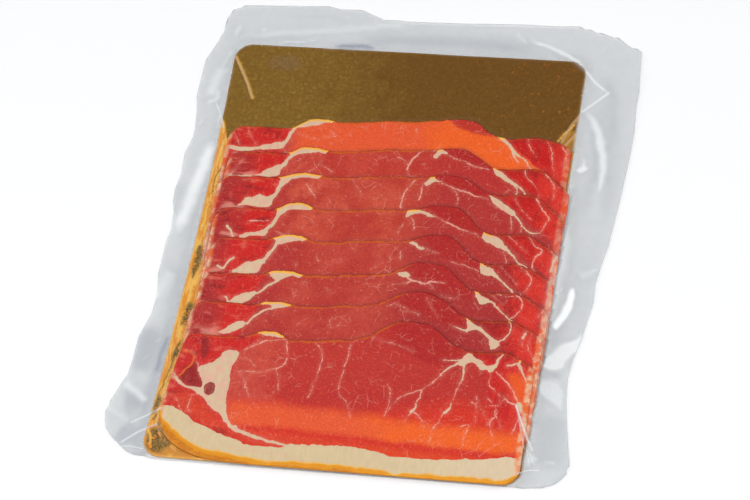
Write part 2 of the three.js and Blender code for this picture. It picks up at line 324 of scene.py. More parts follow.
MARKS = [
    {  # slice_1
        "fat": [
            [(-79, 53.5), (-76, 51), (-70, 50.5), (-62, 51.8), (-55, 52.5), (-51, 53.5), (-49.6, 56),
             (-48.5, 60), (-47, 64), (-46.3, 66.3), (-47.6, 66.5), (-49, 64), (-50.2, 60), (-52, 57.3),
             (-57, 55.5), (-64, 53), (-70, 52.6), (-75, 53.2)],
            [(-46, 66.4), (-43.5, 69), (-40, 71.2), (-35, 72.3), (-31, 72), (-29, 71.3), (-31, 70),
             (-36, 68.2), (-41, 66.8), (-45, 65.9)],
        ],
        "seams": [
            (2.2, 1.0, [(49.5, 67.5), (52, 65.5), (54.5, 63.3), (57, 60.3), (60, 57)]),
            (0.9, 0.6, [(60, 57), (63.5, 54.5), (66, 51), (67, 49)]),
            (0.8, 0.5, [(56.5, 60.5), (58.5, 56.5), (60.5, 53)]),
        ],
        "veins": [
            (0.6, 0.5, [(63.5, 66.5), (64.5, 62.5), (67, 59), (68.5, 57)]),
            (0.8, 0.7, [(72.8, 65.5), (75, 60.5), (76.3, 56), (77.3, 50.5)]),
            (0.7, 0.8, [(80, 64), (82, 60.5), (82.5, 57), (81, 53)]),
            (0.5, 0.4, [(-45, 62), (-39, 60.5), (-34.5, 58.8)]),
            (0.5, 0.3, [(-30, 64.5), (-27, 62), (-33, 61)]),
            (0.7, 0.4, [(-77, 62), (-73.5, 57), (-71, 52.5)]),
            (0.5, 0.3, [(-70, 64), (-66, 57), (-63, 54)]), (0.4, 0.3, [(10.5, 69), (11, 66), (10.7, 63)]),
        ],
        "crimson": [(24, 75.5), (30, 71), (37, 68.5), (44, 67.3), (52, 66.5)],
    },
    {  # slice_2
        "fat": [
            [(-62, 37), (-58.5, 38.3), (-56.3, 41), (-52, 43.4), (-50, 44), (-48.6, 47), (-47.4, 47),
             (-48.6, 43), (-49.6, 40), (-50.6, 37.4), (-56, 36.6)],
            [(-47, 49), (-44.5, 52), (-41, 54), (-36, 55), (-31.5, 54.7), (-29, 53.7), (-32, 52.4),
             (-37, 51.8), (-41, 51), (-44.5, 49.2), (-46.3, 47.3)],
            [(49.6, 49.3), (53, 47.4), (56.5, 45), (60, 42), (61.7, 40.3), (60, 40), (56.5, 42.3),
             (53, 44.6), (50.6, 46.6)],
            [(20.4, 54), (22, 56), (24, 57.6), (26.6, 56.8), (27.3, 55.6), (24.6, 55.4), (23, 53.4),
             (21, 53)],
        ],
        "seams": [
            (1.4, 1.6, [(-48.2, 43.5), (-47.6, 46.5), (-46.3, 49)]),
            (0.9, 0.5, [(61, 41), (65, 37.3), (68.3, 33)]),
            (0.9, 0.8, [(-76, 36.8), (-70, 35.8), (-63, 36.8)]),
            (0.6, 0.5, [(59.5, 41.5), (62, 38), (62.2, 34)]),
        ],
        "veins": [
            (0.8, 0.5, [(-73, 36.6), (-71, 39.5), (-70.5, 42.5), (-68.8, 45)]),
            (0.6, 0.5, [(-36, 41), (-33, 43.6), (-32, 45.3), (-31.6, 47.5)]),
            (0.6, 0.4, [(-32, 45.2), (-28, 43.6), (-25, 41.6)]),
            (1.0, 1.0, [(9.8, 45.5), (10.8, 49.5), (12.2, 53), (14.5, 56), (18, 57.4), (21, 57.2),
             (24.5, 58)]),
            (0.9, 0.6, [(27, 55.7), (31, 53.2), (36, 51.8), (40, 49.6), (48, 47.8)]),
            (0.8, 0.5, [(64.5, 48.6), (66, 45), (69.5, 41.5), (72.3, 37.5), (72.6, 33)]),
            (0.9, 0.5, [(73.5, 48.6), (76, 45), (79, 41.2), (79.5, 34)]),
            (0.5, 0.4, [(79.5, 48), (82, 44), (84.5, 41.5)]), (0.5, 0.4, [(4, 52), (7, 51), (9.5, 48)]),
            (0.4, 0.4, [(10.2, 46), (11, 42.5), (13, 41.2)]),
        ],
        "crimson": [(26, 57), (32, 52.7), (38, 50.8), (44, 48.8), (52, 46)],
    },
    {  # slice_3
        "fat": [
            [(-66.3, 19.3), (-64.5, 21.8), (-63.3, 24.3), (-60, 24.6), (-57, 26.3), (-53, 25.6),
             (-50.4, 27.6), (-49.3, 30.5), (-48, 30.5), (-48.8, 27), (-50, 23.5), (-50.8, 20.6),
             (-55, 19.4), (-61, 20)],
            [(-49.3, 34.6), (-46, 36.6), (-42, 39), (-37, 40.2), (-32, 40), (-29.8, 38.6), (-33.5, 37.9),
             (-38, 37.6), (-42, 36.6), (-45, 34.2), (-47, 31.6), (-48.6, 32)],
            [(50, 34), (53, 32.6), (56.5, 30.7), (60, 28.2), (63.4, 24.6), (62, 23.5), (58.5, 25.3),
             (55, 28), (51.5, 30.6)],
            [(19, 38), (20.6, 40.6), (23.3, 43.8), (23.8, 41), (27, 40.2), (24, 39.6), (20.6, 37.3)],
        ],
        "seams": [
            (2.2, 1.8, [(-49, 29), (-48.2, 32), (-46.5, 34.8)]),
            (1.2, 0.6, [(62, 25.2), (65.5, 21.2), (68.5, 17.3)]),
            (0.7, 0.5, [(68.5, 17.3), (72, 14.6), (76, 14.7)]),
            (1.6, 1.4, [(-78.6, 33.5), (-77, 30), (-78, 27)]),
        ],
        "veins": [
            (0.6, 0.4, [(-36.5, 33.5), (-33, 30), (-31, 26.5)]),
            (0.5, 0.3, [(-15.3, 38.8), (-12.5, 34.5), (-9, 30)]),
            (0.8, 0.8, [(10, 24.5), (10.4, 30), (11.5, 35), (14.3, 39.6)]),
            (1.2, 0.8, [(18, 29.5), (18.3, 34), (18.6, 37.6), (20.3, 38.8)]),
            (1.0, 0.8, [(24, 40.2), (28, 38.6), (33, 36.7), (38, 35.3), (43, 33.3), (50, 32)]),
            (0.7, 0.7, [(31, 37), (34, 34.8), (35.6, 31.4), (35.3, 27.4)]),
            (0.5, 0.5, [(60.5, 25), (62, 20), (62.6, 15)]),
            (0.5, 0.5, [(64.3, 23), (67, 18.5), (67.6, 14.7)]),
            (0.5, 0.4, [(62, 33.3), (65.5, 27.5), (71, 22)]),
            (1.1, 0.7, [(72.4, 33.3), (75, 28.3), (78.8, 23), (77.4, 18.4), (76, 14.7)]),
            (0.5, 0.4, [(78.5, 31), (82, 26.5), (85, 23)]),
            (0.4, 0.4, [(50.5, 29.6), (54.5, 27.6), (58, 28)]),
        ],
        "crimson": [(25, 41), (31, 37.8), (37, 35.8), (43, 33.8), (52, 32)],
    },
    {  # slice_4
        "fat": [
            [(-62.3, 2), (-60, 4.2), (-57, 5.3), (-53, 6.4), (-50.2, 8.3), (-49, 10), (-48, 9.4),
             (-49, 6.3), (-50.6, 4), (-55, 3.4), (-59, 2.2)],
            [(-47, 17.6), (-45, 20.2), (-41, 22), (-36, 22.6), (-32.4, 23), (-30.6, 20.6), (-33, 19.7),
             (-38, 19.6), (-42, 18.5), (-44.5, 16.2), (-46.6, 15)],
            [(50.6, 14.6), (53.5, 12.6), (57.5, 10.8), (60.6, 7.3), (62.6, 4.3), (60, 4.8), (56, 6.3),
             (52, 8.8), (50.2, 11)],
            [(13.6, 22.2), (16, 23.3), (21, 22.9), (26.6, 20.4), (24, 20), (20, 21.4), (16, 20.4),
             (13.5, 19)],
        ],
        "seams": [
            (1.4, 1.6, [(-48.6, 8.5), (-47.6, 11.5), (-46.2, 15.5)]),
            (1.2, 0.6, [(61.5, 6), (65, 2.3), (69, -2)]),
            (0.9, 0.8, [(85.4, 3.6), (84, -1), (83.7, -5.5)]), (1.0, 0.7, [(69, -2), (73, -5), (74, -8)]),
            (1.2, 0.8, [(-69, 8), (-67, 5), (-65.5, 2.2)]),
        ],
        "veins": [
            (1.4, 0.6, [(-58.5, 11.5), (-54, 11.8), (-49.8, 12.3)]), (0.5, 0.3, [(-39.5, 7), (-38.6, 4)]),
            (0.9, 0.6, [(26, 21), (32, 18), (38, 15), (44, 13), (50, 10.6)]),
            (0.9, 0.5, [(14.6, 20), (17.5, 17), (18.2, 12.5)]),
            (0.6, 0.4, [(11, 10), (11.6, 13), (13, 15.5)]),
            (0.5, 0.4, [(61, 4), (62.8, -1), (63.6, -5.5)]),
            (0.5, 0.4, [(62, 12.6), (66, 8.5), (71.5, 4)]),
            (1.0, 0.8, [(71.4, 13), (74, 8.5), (78.3, 5.5), (75.2, 1), (75, -4)]),
            (0.5, 0.4, [(77, 12), (81.5, 7.5), (85, 2)]),
        ],
        "crimson": [(25, 24), (31, 18.8), (38, 15.4), (45, 13), (52, 10.8)],
    },
    {  # slice_5
        "fat": [
            [(-62, -16.8), (-58.6, -13.4), (-56.6, -10.9), (-53, -10.6), (-49.5, -9.3), (-47.4, -10),
             (-48.8, -13), (-50, -16.4), (-55, -17.4), (-59.5, -17.6)],
            [(-44.6, 1.4), (-41, 3.9), (-36.5, 5), (-32.4, 5.4), (-30.2, 3.2), (-33.5, 2.3), (-37.5, 1.3),
             (-41, 0), (-44, -0.6)],
            [(51.3, -2.3), (53.6, -4.8), (57.3, -6.4), (60.3, -9.4), (63, -12.6), (60, -11.4), (57, -9.8),
             (53.5, -9.2), (51.6, -7.6)],
            [(17, 5), (20, 5.7), (22, 3.4), (25, 2), (22.5, 1.7), (20, 3.6)],
        ],
        "seams": [
            (1.6, 1.4, [(-48.6, -10), (-46.3, -6.3), (-44.2, -2), (-43.8, 0.6)]),
            (0.9, 0.6, [(61, -11), (65, -15), (69.5, -19)]),
            (0.9, 0.8, [(84, -1), (83.7, -5.5), (85.6, -12)]),
            (0.8, 0.6, [(69.5, -19), (72.3, -22), (72.4, -25)]),
            (1.2, 0.9, [(-69, -14.4), (-66, -15.6), (-64.6, -11.6), (-62.6, -9.3)]),
        ],
        "veins": [
            (0.9, 0.5, [(22, 3.4), (26, 2), (31.3, 0.4)]), (0.7, 0.5, [(38, -3.8), (44, -5), (51, -7.4)]),
            (0.5, 0.4, [(61, -4.6), (65, -9), (70, -13.5)]), (0.5, 0.3, [(14, 0), (14.6, -4.4)]),
            (0.8, 0.6, [(66, 2), (70, -4), (75.6, -9.6), (74.5, -15.5), (72, -19)]),
            (0.9, 0.6, [(82, -4.6), (82.4, -9), (84, -12.3)]), (0.5, 0.3, [(-24, -5), (-22.6, -8)]),
            (0.5, 0.3, [(-34, -9), (-32.6, -12)]),
        ],
        "crimson": [(24, 8), (31, 0.2), (38, -3.2), (45, -5.8), (53, -8.5)],
    },
    {  # slice_6
        "fat": [
            [(-62.4, -34.6), (-59, -31.8), (-55.5, -28.6), (-51, -27), (-48.3, -27.2), (-50, -30.5),
             (-53, -33), (-57.5, -34.5)],
            [(-43.6, -17), (-40.6, -15.8), (-36.5, -14.2), (-32.6, -14), (-28.8, -15.4), (-32, -16.4),
             (-36, -18.2), (-39.8, -20.2), (-42, -18.4)],
            [(50.8, -17.4), (54, -20.2), (58, -22.6), (62.3, -25.8), (58.5, -24.2), (54.8, -25.2),
             (52.2, -22)],
            [(14.4, -11.3), (19.3, -11), (20.2, -13), (16, -13.6)],
        ],
        "seams": [
            (1.0, 0.9, [(-39.8, -20.2), (-44, -23.6), (-47.8, -27.6)]),
            (0.9, 0.6, [(60.5, -24.6), (65.5, -29), (69.5, -32.6)]),
            (0.9, 0.8, [(83.4, -14), (83.7, -18), (82.6, -20.5), (83.7, -23.4), (86, -28)]),
            (0.9, 0.8, [(-62.5, -30.5), (-60, -34)]),
        ],
        "veins": [
            (1.4, 0.9, [(18, -12.6), (22, -15), (28, -16.2), (31, -15), (37, -15.5)]),
            (0.9, 0.7, [(21.6, -15), (18.6, -17.2), (13, -17.6)]),
            (0.7, 0.5, [(29.4, -15.6), (32, -18.2)]), (0.5, 0.4, [(58, -19), (64, -23.6), (66, -22)]),
            (0.5, 0.4, [(61, -19), (66, -20), (71, -19.6)]),
            (0.9, 0.7, [(70, -18.6), (73.2, -22.6), (72.4, -28), (69, -31.5)]),
            (0.9, 0.6, [(82, -12), (80.5, -20), (83, -25), (81, -30)]),
            (0.5, 0.3, [(-17, -22), (-14, -25)]), (0.4, 0.3, [(36, -22), (44, -23.5)]),
        ],
        "crimson": [(20, -12), (28, -14.6), (36, -18), (44, -21), (54, -24)],
    },
    {  # slice_7
        "fat": [
            [(-62, -49.6), (-59, -47.3), (-55.6, -44), (-51.5, -42.8), (-50.2, -44.4), (-52, -47),
             (-56, -49.4), (-60, -50.4)],
            [(-43.4, -32.3), (-40, -31), (-35.6, -31.2), (-31, -32.5), (-34, -33.6), (-38.6, -34.8),
             (-40.6, -33.5)],
            [(49, -33), (53, -35.6), (56.6, -38.2), (53.4, -39.3), (50.2, -40.3), (50.6, -37)],
            [(61.6, -42.6), (64.6, -43.2), (66.4, -45.2), (65, -47.6), (62.4, -48.6), (61.6, -46)],
        ],
        "seams": [
            (1.0, 0.8, [(-38.5, -34.6), (-43, -37), (-47, -40.4), (-49.6, -44)]),
            (0.8, 0.6, [(65.6, -44), (68, -42), (69.8, -38.6), (70.2, -35), (68.4, -32.5)]),
            (1.0, 0.5, [(51, -39.4), (48, -39.2), (44.6, -38)]), (1.0, 1.0, [(75.7, -41.6), (77, -39)]),
            (1.6, 1.4, [(56, -38), (59.4, -40.4), (62.4, -43.4)]),
            (0.9, 0.8, [(82, -26), (80.4, -30.4), (83.1, -36), (84.6, -41)]),
        ],
        "veins": [
            (0.9, 0.6, [(13, -29.2), (17.5, -28.7), (23, -31), (28, -32.8)]),
            (0.8, 0.6, [(78, -36.5), (75.4, -41), (77, -46)]),
            (0.5, 0.3, [(30, -24), (33, -29), (36, -33)]), (0.4, 0.3, [(-12, -39), (-11, -43)]),
            (0.5, 0.4, [(80, -38), (79, -45), (82, -52)]),
        ],
        "crimson": [(16, -29), (26, -31), (36, -35), (46, -38), (54, -41)],
    },
    {  # slice_8
        "fat": [
            [(-56, -59), (-50.6, -59.2), (-50.2, -62.7), (-52, -66.7), (-52.3, -70), (-51.3, -73.3),
             (-51.7, -77.3), (-51.2, -83.3), (-50.6, -88.7), (-49.3, -92.7), (-46, -96.7), (-42, -99.3),
             (-43.5, -100.3), (-50, -95.7), (-52.7, -91.5), (-56, -90), (-58.7, -88), (-62, -84),
             (-66.7, -80.7), (-70.7, -79.6), (-66, -78.8), (-63.4, -78.6), (-64.3, -75.3), (-66.3, -70.7),
             (-66.7, -68), (-61.3, -65.3), (-58.7, -62.7)],
            [(52.6, -50.9), (56.1, -52.9), (59.4, -54.9), (61.9, -56.9), (64.1, -56.5), (65.6, -55.7),
             (66.9, -53.6), (67.2, -55), (66.6, -57), (65.7, -58.8), (64.1, -60.4), (62.6, -58.9),
             (60.4, -59.3), (58.5, -57.9), (56.3, -55.9), (54.6, -56), (53.5, -56.7), (52.1, -58.4),
             (51.1, -58.2), (48.3, -57), (49.5, -56.1), (51.1, -53.8)],
            [(-44, -47.3), (-39, -46.6), (-34, -48), (-31, -50.4), (-36, -49.6), (-41, -49.4)],
        ],
        "holes": [
            [(-60, -75.6), (-57.6, -77), (-57.2, -80), (-58.8, -82.6), (-61.4, -82.4), (-62.6, -79.6),
             (-62, -76.8)],
        ],
        "seams": [
            (2.0, 0.9, [(-45, -98), (-40.7, -100.2), (-30, -103.2), (-20, -105.2)]),
            (1.6, 1.0, [(-79, -72.7), (-74.7, -76.4), (-70.7, -79), (-64, -80)]),
            (1.2, 0.4, [(49.5, -57), (45.5, -59.8), (42.3, -64.2)]),
            (1.2, 0.4, [(52, -57), (52.2, -63), (52.1, -67)]), (1.2, 0.5, [(66.5, -54), (68.8, -50.7)]),
            (0.8, 0.4, [(53, -55.5), (47, -55.3), (42, -55.6)]), (0.8, 1.2, [(76, -55.6), (76.7, -51.7)]),
            (0.9, 0.5, [(76.2, -54.8), (71.2, -56.1)]),
            (1.0, 0.5, [(76, -55), (78.9, -59.8), (81.3, -64.8)]),
            (0.3, 1.7, [(34, -78.5), (33.5, -81), (32.2, -83.4)]),
            (0.3, 1.3, [(49.6, -77), (48.6, -80.6), (47, -82.4)]),
            (2.4, 1.2, [(78.8, -75.5), (81, -79), (82.6, -83)]),
        ],
        "veins": [
            (0.7, 0.6, [(-48, -58), (-43, -54.4), (-39, -52.6), (-33, -51.4), (-27, -51)]),
            (0.8, 0.6, [(43, -63), (40, -67.3), (35.7, -71.3), (35, -74.7), (33.3, -80), (32, -84),
             (30, -88.7)]),
            (0.8, 0.5, [(51.8, -66), (50.4, -70.5), (50, -75.3), (49.3, -80), (46.7, -82.7), (45.7, -86.7),
             (43.3, -90), (42.7, -98)]),
            (0.7, 0.5, [(35, -72), (30, -74), (25, -78), (22, -84)]),
            (0.5, 0.4, [(-75.7, -60), (-70.7, -61.3), (-68.7, -65.3), (-67, -69.3), (-65, -74)]),
            (0.5, 0.4, [(-49, -69), (-45, -73), (-44, -78)]),
            (0.5, 0.4, [(-50, -62), (-45, -63), (-41, -66)]),
            (0.6, 0.6, [(-29.7, -52), (-28.3, -58), (-28, -63.3), (-31.3, -66), (-37.3, -68.3),
             (-43.3, -68.9), (-49, -69)]),
            (0.6, 0.5, [(-31.3, -66.7), (-30, -70.7), (-28.7, -77.3)]),
            (0.6, 0.6, [(-16.3, -51), (-13.3, -55.3), (-12, -60), (-12.7, -66.7), (-13.3, -72),
             (-14.7, -80)]),
            (0.5, 0.4, [(0, -50), (-1, -62), (-2, -75), (2, -80), (6, -88)]),
            (0.6, 0.4, [(10, -46.7), (13.3, -48), (20, -49.3), (28, -52.7)]),
            (0.5, 0.4, [(-43, -70), (-44, -76), (-41, -82)]),
            (0.6, 0.5, [(32.7, -82.7), (37, -86), (39, -91)]),
            (0.8, 0.6, [(55.3, -88.7), (59.3, -87.7), (57.7, -92), (58, -98)]),
            (0.6, 0.4, [(70.4, -71.7), (70, -76), (66.8, -77)]),
            (0.5, 0.4, [(60, -73), (61, -80), (61.6, -86)]),
            (0.8, 0.6, [(66.9, -59.4), (71.5, -64.2), (75.3, -68.3), (77.6, -73), (78.8, -76)]),
            (0.6, 0.5, [(64.5, -60.5), (64.4, -65), (67, -69.1), (70.4, -71.7), (76.5, -75.7)]),
            (0.6, 0.5, [(69.3, -70.7), (77.3, -76), (80, -80), (78, -90)]),
            (0.5, 0.4, [(65, -73), (70, -79), (68, -87), (71, -95)]),
            (0.5, 0.4, [(73, -73), (69, -80), (73, -87)]), (0.5, 0.4, [(58, -76), (63, -79), (66, -84)]),
            (0.7, 0.5, [(-67.3, -83.3), (-68, -89.3), (-66, -93.3)]),
            (0.5, 0.4, [(20, -70), (22, -78), (21, -86)]),
            (0.5, 0.4, [(-77, -84), (-73, -87), (-70, -92)]),
        ],
        "crimson": [(14, -50), (24, -53), (34, -57), (46, -60), (52, -62)],
        "dark": [
            [(-75.1, -74.4), (-70.1, -66), (-67.6, -68.1), (-64.7, -73.8), (-63.3, -79.7), (-67.8, -79.7),
             (-71.9, -76.3)],
            [(-69, -53), (-66, -53), (-64, -60), (-66, -64), (-68, -58)],
        ],
        "rust": [
            (0.9, 0.7, [(-75.8, -60.1), (-72.4, -61.4), (-70.3, -63.8), (-70.4, -66.4), (-72.8, -70.8),
             (-75.4, -74.4)]),
        ],
    },
]
LAST = len(MARKS) - 1

# The rind band of the uppermost slice, as heights along it: where the meat ends, where fat turns to rind.
MEAT_END = [
    (-80, -89), (-74, -89.7), (-70, -92), (-66.7, -94), (-63.3, -96.7), (-56.7, -99.3), (-50, -102),
    (-44.7, -103.9), (-39.3, -105.7), (-30, -106.6), (-22, -106.2), (-18, -104.2), (0, -103.3),
    (14.7, -103.3), (20, -104.7), (26.7, -106.3), (50, -106), (60, -104.7), (70, -104), (76.7, -102),
    (82, -102), (85, -99.5),
]
FAT_END = [
    (-80, -92), (-77, -97.3), (-70, -103.3), (-63.3, -107.3), (-56.7, -110), (-46.7, -111.3),
    (-36.7, -112.7), (-28, -113.5), (-16.7, -113), (0, -112.3), (20, -113), (28, -114.8), (50, -113.6),
    (60, -113.6), (70, -114), (80, -113), (84, -109),
]
# The left lobe's boundary, by height over each slice's rind edge.
LEFT_SEAM = [(-52, 48), (-49.5, 53), (-47.3, 59), (-46, 64)]
# How deep the fat is along each slice's upper edge, and from where to where.
CAP_DEPTH = [1.6, 2.2, 2.3, 2.6, 2.6, 2.2, 1.6, -9]
CAP_SPAN = [
    (-47, -29), (-47, -29), (-48.6, -30), (-46.8, -31), (-45, -30.6), (-43.8, -29), (-44.4, -31.4), (0, 0),
]
# How much orange and cream each slice's right end shows.
WALL_TONE = [0.4, 0.4, 0.4, 0.6, 0.7, 0.8, 1, 0.9]
DEEPER = [0, 0, 0.1, 0.2, 0.7, 1, 1, 0]  # how much deeper the red of each slice's main muscle is
FRESHER = [1, 0.5, 0, 0, 0, 0, 0, 0.85]  # how much fresher it is
DUSKY = [0.15, 0.75, 0.75, 0.75, 0.75, 0.75, 0.75, 0.15]  # how much duskier its left lobe's end is
# Patches of painted orange glow on the uppermost slice, at its right end and in its lower left lobe.
BRIGHT_END = [(72.5, -60.5), (81.5, -63), (82, -78), (79, -77), (75.5, -69)]
BRIGHT_LOBE = [
    (-76, -84), (-68, -83), (-57, -90), (-49, -97), (-42, -102), (-50, -100.5), (-62, -96), (-72, -89),
]
# Heights of the uppermost slice's bands at its middle, on the reading plane: each mark starts at the first
# and is full at the second.
EMBER = (-80, -92)
# The glow bands are a painted orange glow.
GLOW_UPPER, GLOW_LOWER = (-82.5, -90), (-98.8, -95.3)
UNDER_GLOW = (-98.5, -102.5)
BAND_SLOPE = -0.055
# The seams beside the main muscle of the uppermost slice: heights, and x at each.
FRONT_LEFT = ([-106, -97, -90, -60, -53, -50], [-20, -47, -51, -51.5, -44, -42])
FRONT_RIGHT = ([-100, -75, -60, -50], [74, 66, 62, 52])


def drawn_marks(k, rx, ry):
    """The marks of slice k that MARKS places, as masks. The halo is what lies round fat and veins."""
    marks = MARKS[k]
    fat, vein, halo, dark, rust = (np.zeros(rx.shape) for _ in range(5))
    for outline in marks["fat"]:
        patch(fat, rx, ry, outline, 1.0, 1.0)
        patch(halo, rx, ry, outline, 0.8, 3.5)
    for start, end, path in marks["seams"]:
        stroke(fat, rx, ry, path, start, end)
        stroke(halo, rx, ry, path, start + 0.8, end + 0.8, 0.9, 3.2)
    for start, end, path in marks["veins"]:
        stroke(vein, rx, ry, path, 0.85 * start, 0.85 * end, 0.9)
        stroke(halo, rx, ry, path, 0.8, 0.6, 0.8, 2.6)
    for outline in marks.get("holes", []):
        hole = np.zeros(rx.shape)
        patch(hole, rx, ry, outline)
        fat = np.minimum(fat, 1 - hole)
        patch(dark, rx, ry, outline)
    for outline in marks.get("dark", []):
        patch(dark, rx, ry, outline, 0.8, 1.5)
    for start, end, path in marks.get("rust", []):
        stroke(rust, rx, ry, path, start, end)
    vein *= 0.75 + 0.35 * noise(rx, ry, 3.1, 97 + k)
    return {"fat": fat, "vein": vein, "halo": halo, "dark": dark, "rust": rust}


def front_marks(masks, rx, ry):
    """Adds the uppermost slice's rind band, and the redder meat and a painted orange glow beside it."""
    meat_end = np.interp(rx, *np.array(MEAT_END).T)
    fat_end = np.interp(rx, *np.array(FAT_END).T) + 0.5 * noise(rx, ry, 5, 91)
    slope = BAND_SLOPE * np.clip(rx, -20, 60)
    rise = slope + 0.3 * np.clip(rx - 10, 0, 40)
    wavy = ry + 0.8 * noise(rx, ry, 9, 93)
    level = wavy - slope
    glow = smooth(*GLOW_UPPER, level) * smooth(*GLOW_LOWER, level)
    glow = np.maximum(glow, 0.3 * smooth(*UNDER_GLOW, ry - slope)) * smooth(-52, -47, rx)
    patch(glow, rx, ry, BRIGHT_END, 0.75, 3)
    patch(glow, rx, ry, BRIGHT_LOBE, 0.4, 5)
    masks["fat"] = np.maximum(masks["fat"], np.clip(0.5 + (meat_end - ry) / SOFT, 0, 1))
    masks["band"] = smooth(-1.5, 0.5, meat_end - ry)
    masks["rind"] = np.clip((fat_end + 0.8 - ry) / 3.2, 0, 1)
    masks["fresh"] = masks["fresh"] + 0.15 * smooth(-66, -78, ry)
    masks["ember"] = smooth(*EMBER, wavy - rise) * smooth(-53, -48, rx)
    masks["glow"] = glow


def slice_masks(k, x, y, z, below_edge, above_next, from_end):
    """The marks of slice k at the points x, y, z, as masks from 0 to 1.

    below_edge is the depth of each point below the upper edge, above_next its height over the next
    slice's, and from_end its distance from the nearer end of the slice.
    """
    rx, ry = as_read(x, y, z)
    rx = rx + 0.4 * noise(rx, ry, 2.6, 10 + k) + 0.2 * noise(rx, ry, 1.1, 30 + k)
    ry = ry + 0.4 * noise(rx, ry, 2.6, 50 + k) + 0.2 * noise(rx, ry, 1.1, 70 + k)
    masks = drawn_marks(k, rx, ry)
    start, end = CAP_SPAN[k]
    cap = CAP_DEPTH[k] * smooth(start - 1.5, start + 1, rx) * smooth(end + 1, end - 1.5, rx) - below_edge
    masks["fat"] = np.maximum(masks["fat"], np.clip(0.5 + cap / SOFT, 0, 1))
    left_x, right_x = lobe_bounds(k, rx, ry)
    left, right = smooth(1, -1, rx - left_x), smooth(-1, 1, rx - right_x)
    crimson = np.interp(rx, *np.array(MARKS[k]["crimson"]).T)
    hump = smooth(-1.2, 1.2, ry - crimson) * smooth(8, 24, rx) * smooth(54, 49, rx)
    for name in ("glow", "rind", "band", "ember"):
        masks[name] = np.zeros(rx.shape)
    masks["fresh"] = np.full(rx.shape, float(FRESHER[k]))
    # Slice 1 gets a painted orange glow over its main muscle, less over its hump.
    if k == 0:
        masks["glow"] = smooth(-50, -42, rx) * (1 - right) * (1 - 0.9 * hump)
        hump = 0.4 * hump
    if k == LAST:
        front_marks(masks, rx, ry)
    masks["left"], masks["right"], masks["hump"] = left, right, hump
    # The shade mask places painted shade where the next slice lies on this one.
    masks["edge"], masks["shade"] = np.clip(below_edge, 0, 6), np.clip(above_next, 0, 6)
    # Where the upper edge gets its painted orange highlight.
    masks["edge_glow"] = smooth(-50, -46, rx) * smooth(24, 14, rx) + 0.5 * smooth(-50, -54, rx)
    masks["edge_glow"] = masks["edge_glow"] + 0.35 * smooth(48, 54, rx)
    masks["dusk"] = smooth(-60, -70, rx + 4 * noise(rx, ry, 7, 95 + k)) * DUSKY[k]
    masks["tip"] = smooth(6.5, 1.5, above_next) * smooth(-78, -72, rx) * smooth(-58, -64, rx)
    right_end, left_end = WALL_TONE[k] * smooth(3.4, 2.2, from_end), 0.9 * smooth(2.6, 0.6, from_end)
    masks["end"] = np.where(rx > 0, right_end, left_end)
    masks["across"] = rx / 100
    masks["deep"] = np.full(rx.shape, float(DEEPER[k]))
    return masks


def lobe_bounds(k, rx, ry):
    """The x of the seams that part the side lobes from the main muscle, at each height."""
    if k == LAST:
        return np.interp(ry, *FRONT_LEFT), np.interp(ry, *FRONT_RIGHT)
    left = np.interp(ry - RIND_Y[k], [s[1] for s in LEFT_SEAM], [s[0] for s in LEFT_SEAM])
    fan = np.clip((RIND_Y[k] + 62 - ry) / 16, 0, 1.6)
    return left, 51 + 20 * fan


# ---------------------------------------------------------------- the slices' bodies

GRID = 0.5  # spacing of the visible surface
FRONT_GRID = 0.46
FRONT_ROWS = 150
FRONT_RIM = np.array([0, 0.0013, 0.0035, 0.007])  # closer rows at its rims, as shares of the height
FRONT_BODY = 0.014  # where its even rows start
VISIBLE = 23  # depth of a slice's shown strip below its upper edge
HIDDEN_ROWS = 5
MIDDLE_LINE = ([0, 3], [21.4, 31])  # runs between the edges: x from the left end, height over the rind edge
RIM_STEPS = (0, 0.09, 0.24, 0.5)  # closer rows where the edge is rounded
RIM_ROUND = 0.42  # radius of a slice's rounded edges
RELIEF = 0.05  # height of the meat's grain, and of fat over lean
UNDER_ROWS = 10
RIND_OVERHANG = 0.5  # how far the uppermost slice's rind stands out past the CAD's edge


def layers_under(y):
    """The fractional number of rind edges beyond y, 1 at the back to 8 at the front, with soft bends."""
    knots = RIND_Y[::-1]
    soft = [np.interp(y + d, knots, np.arange(8, 0, -1)) for d in np.linspace(-2.5, 2.5, 7)]
    return np.mean(soft, axis=0)


def base_z(k, y):
    """The underside of slice k (0 is on the board)."""
    return STACK_Z + LAYER * (k + 1 - layers_under(y))


def outline_of(k):
    """The lower and upper edge of slice k at places along it, from the CAD node: x, lower y, upper y."""
    points = SLICE_POINTS[k]
    left = points[:, 0].min()
    middle = RIND_Y[k] + np.interp(points[:, 0] - left, *MIDDLE_LINE)
    chains = []
    for side, pick in ((points[:, 1] < middle, np.min), (points[:, 1] > middle, np.max)):
        xs = np.round(points[side, 0], 2)
        ys = points[side, 1]
        chain = np.array([(x, pick(ys[np.abs(xs - x) < 0.02])) for x in np.unique(xs)])
        chains.append(chain)
    x = np.unique(np.concatenate([chain[:, 0] for chain in chains]))
    return np.stack([x] + [np.interp(x, *chain.T) for chain in chains], axis=1)


def edges_at(pairs, x, k):
    """Lower and upper edges at x, rounded and slightly uneven."""
    reach = np.clip(np.minimum(x - pairs[0, 0], pairs[-1, 0] - x), 0, 2)
    spread = [x + reach * d for d in np.linspace(-1, 1, 7)]
    lower = np.mean([np.interp(s, pairs[:, 0], pairs[:, 1]) for s in spread], axis=0)
    upper = np.mean([np.interp(s, pairs[:, 0], pairs[:, 2]) for s in spread], axis=0)
    ragged = 0.3 * noise(x, x * 0 + k * 7.3, 5.5, 120 + k) + 0.16 * noise(x, x * 0, 1.7, 140 + k)
    ragged = ragged + 0.3 * smooth(-0.1, 0.1, noise(x, x * 0, 7, 150 + k)) - 0.15
    calm = smooth(0, 5, x - pairs[0, 0]) * smooth(0, 5, pairs[-1, 0] - x)
    return lower, upper + (ragged - 0.15) * calm


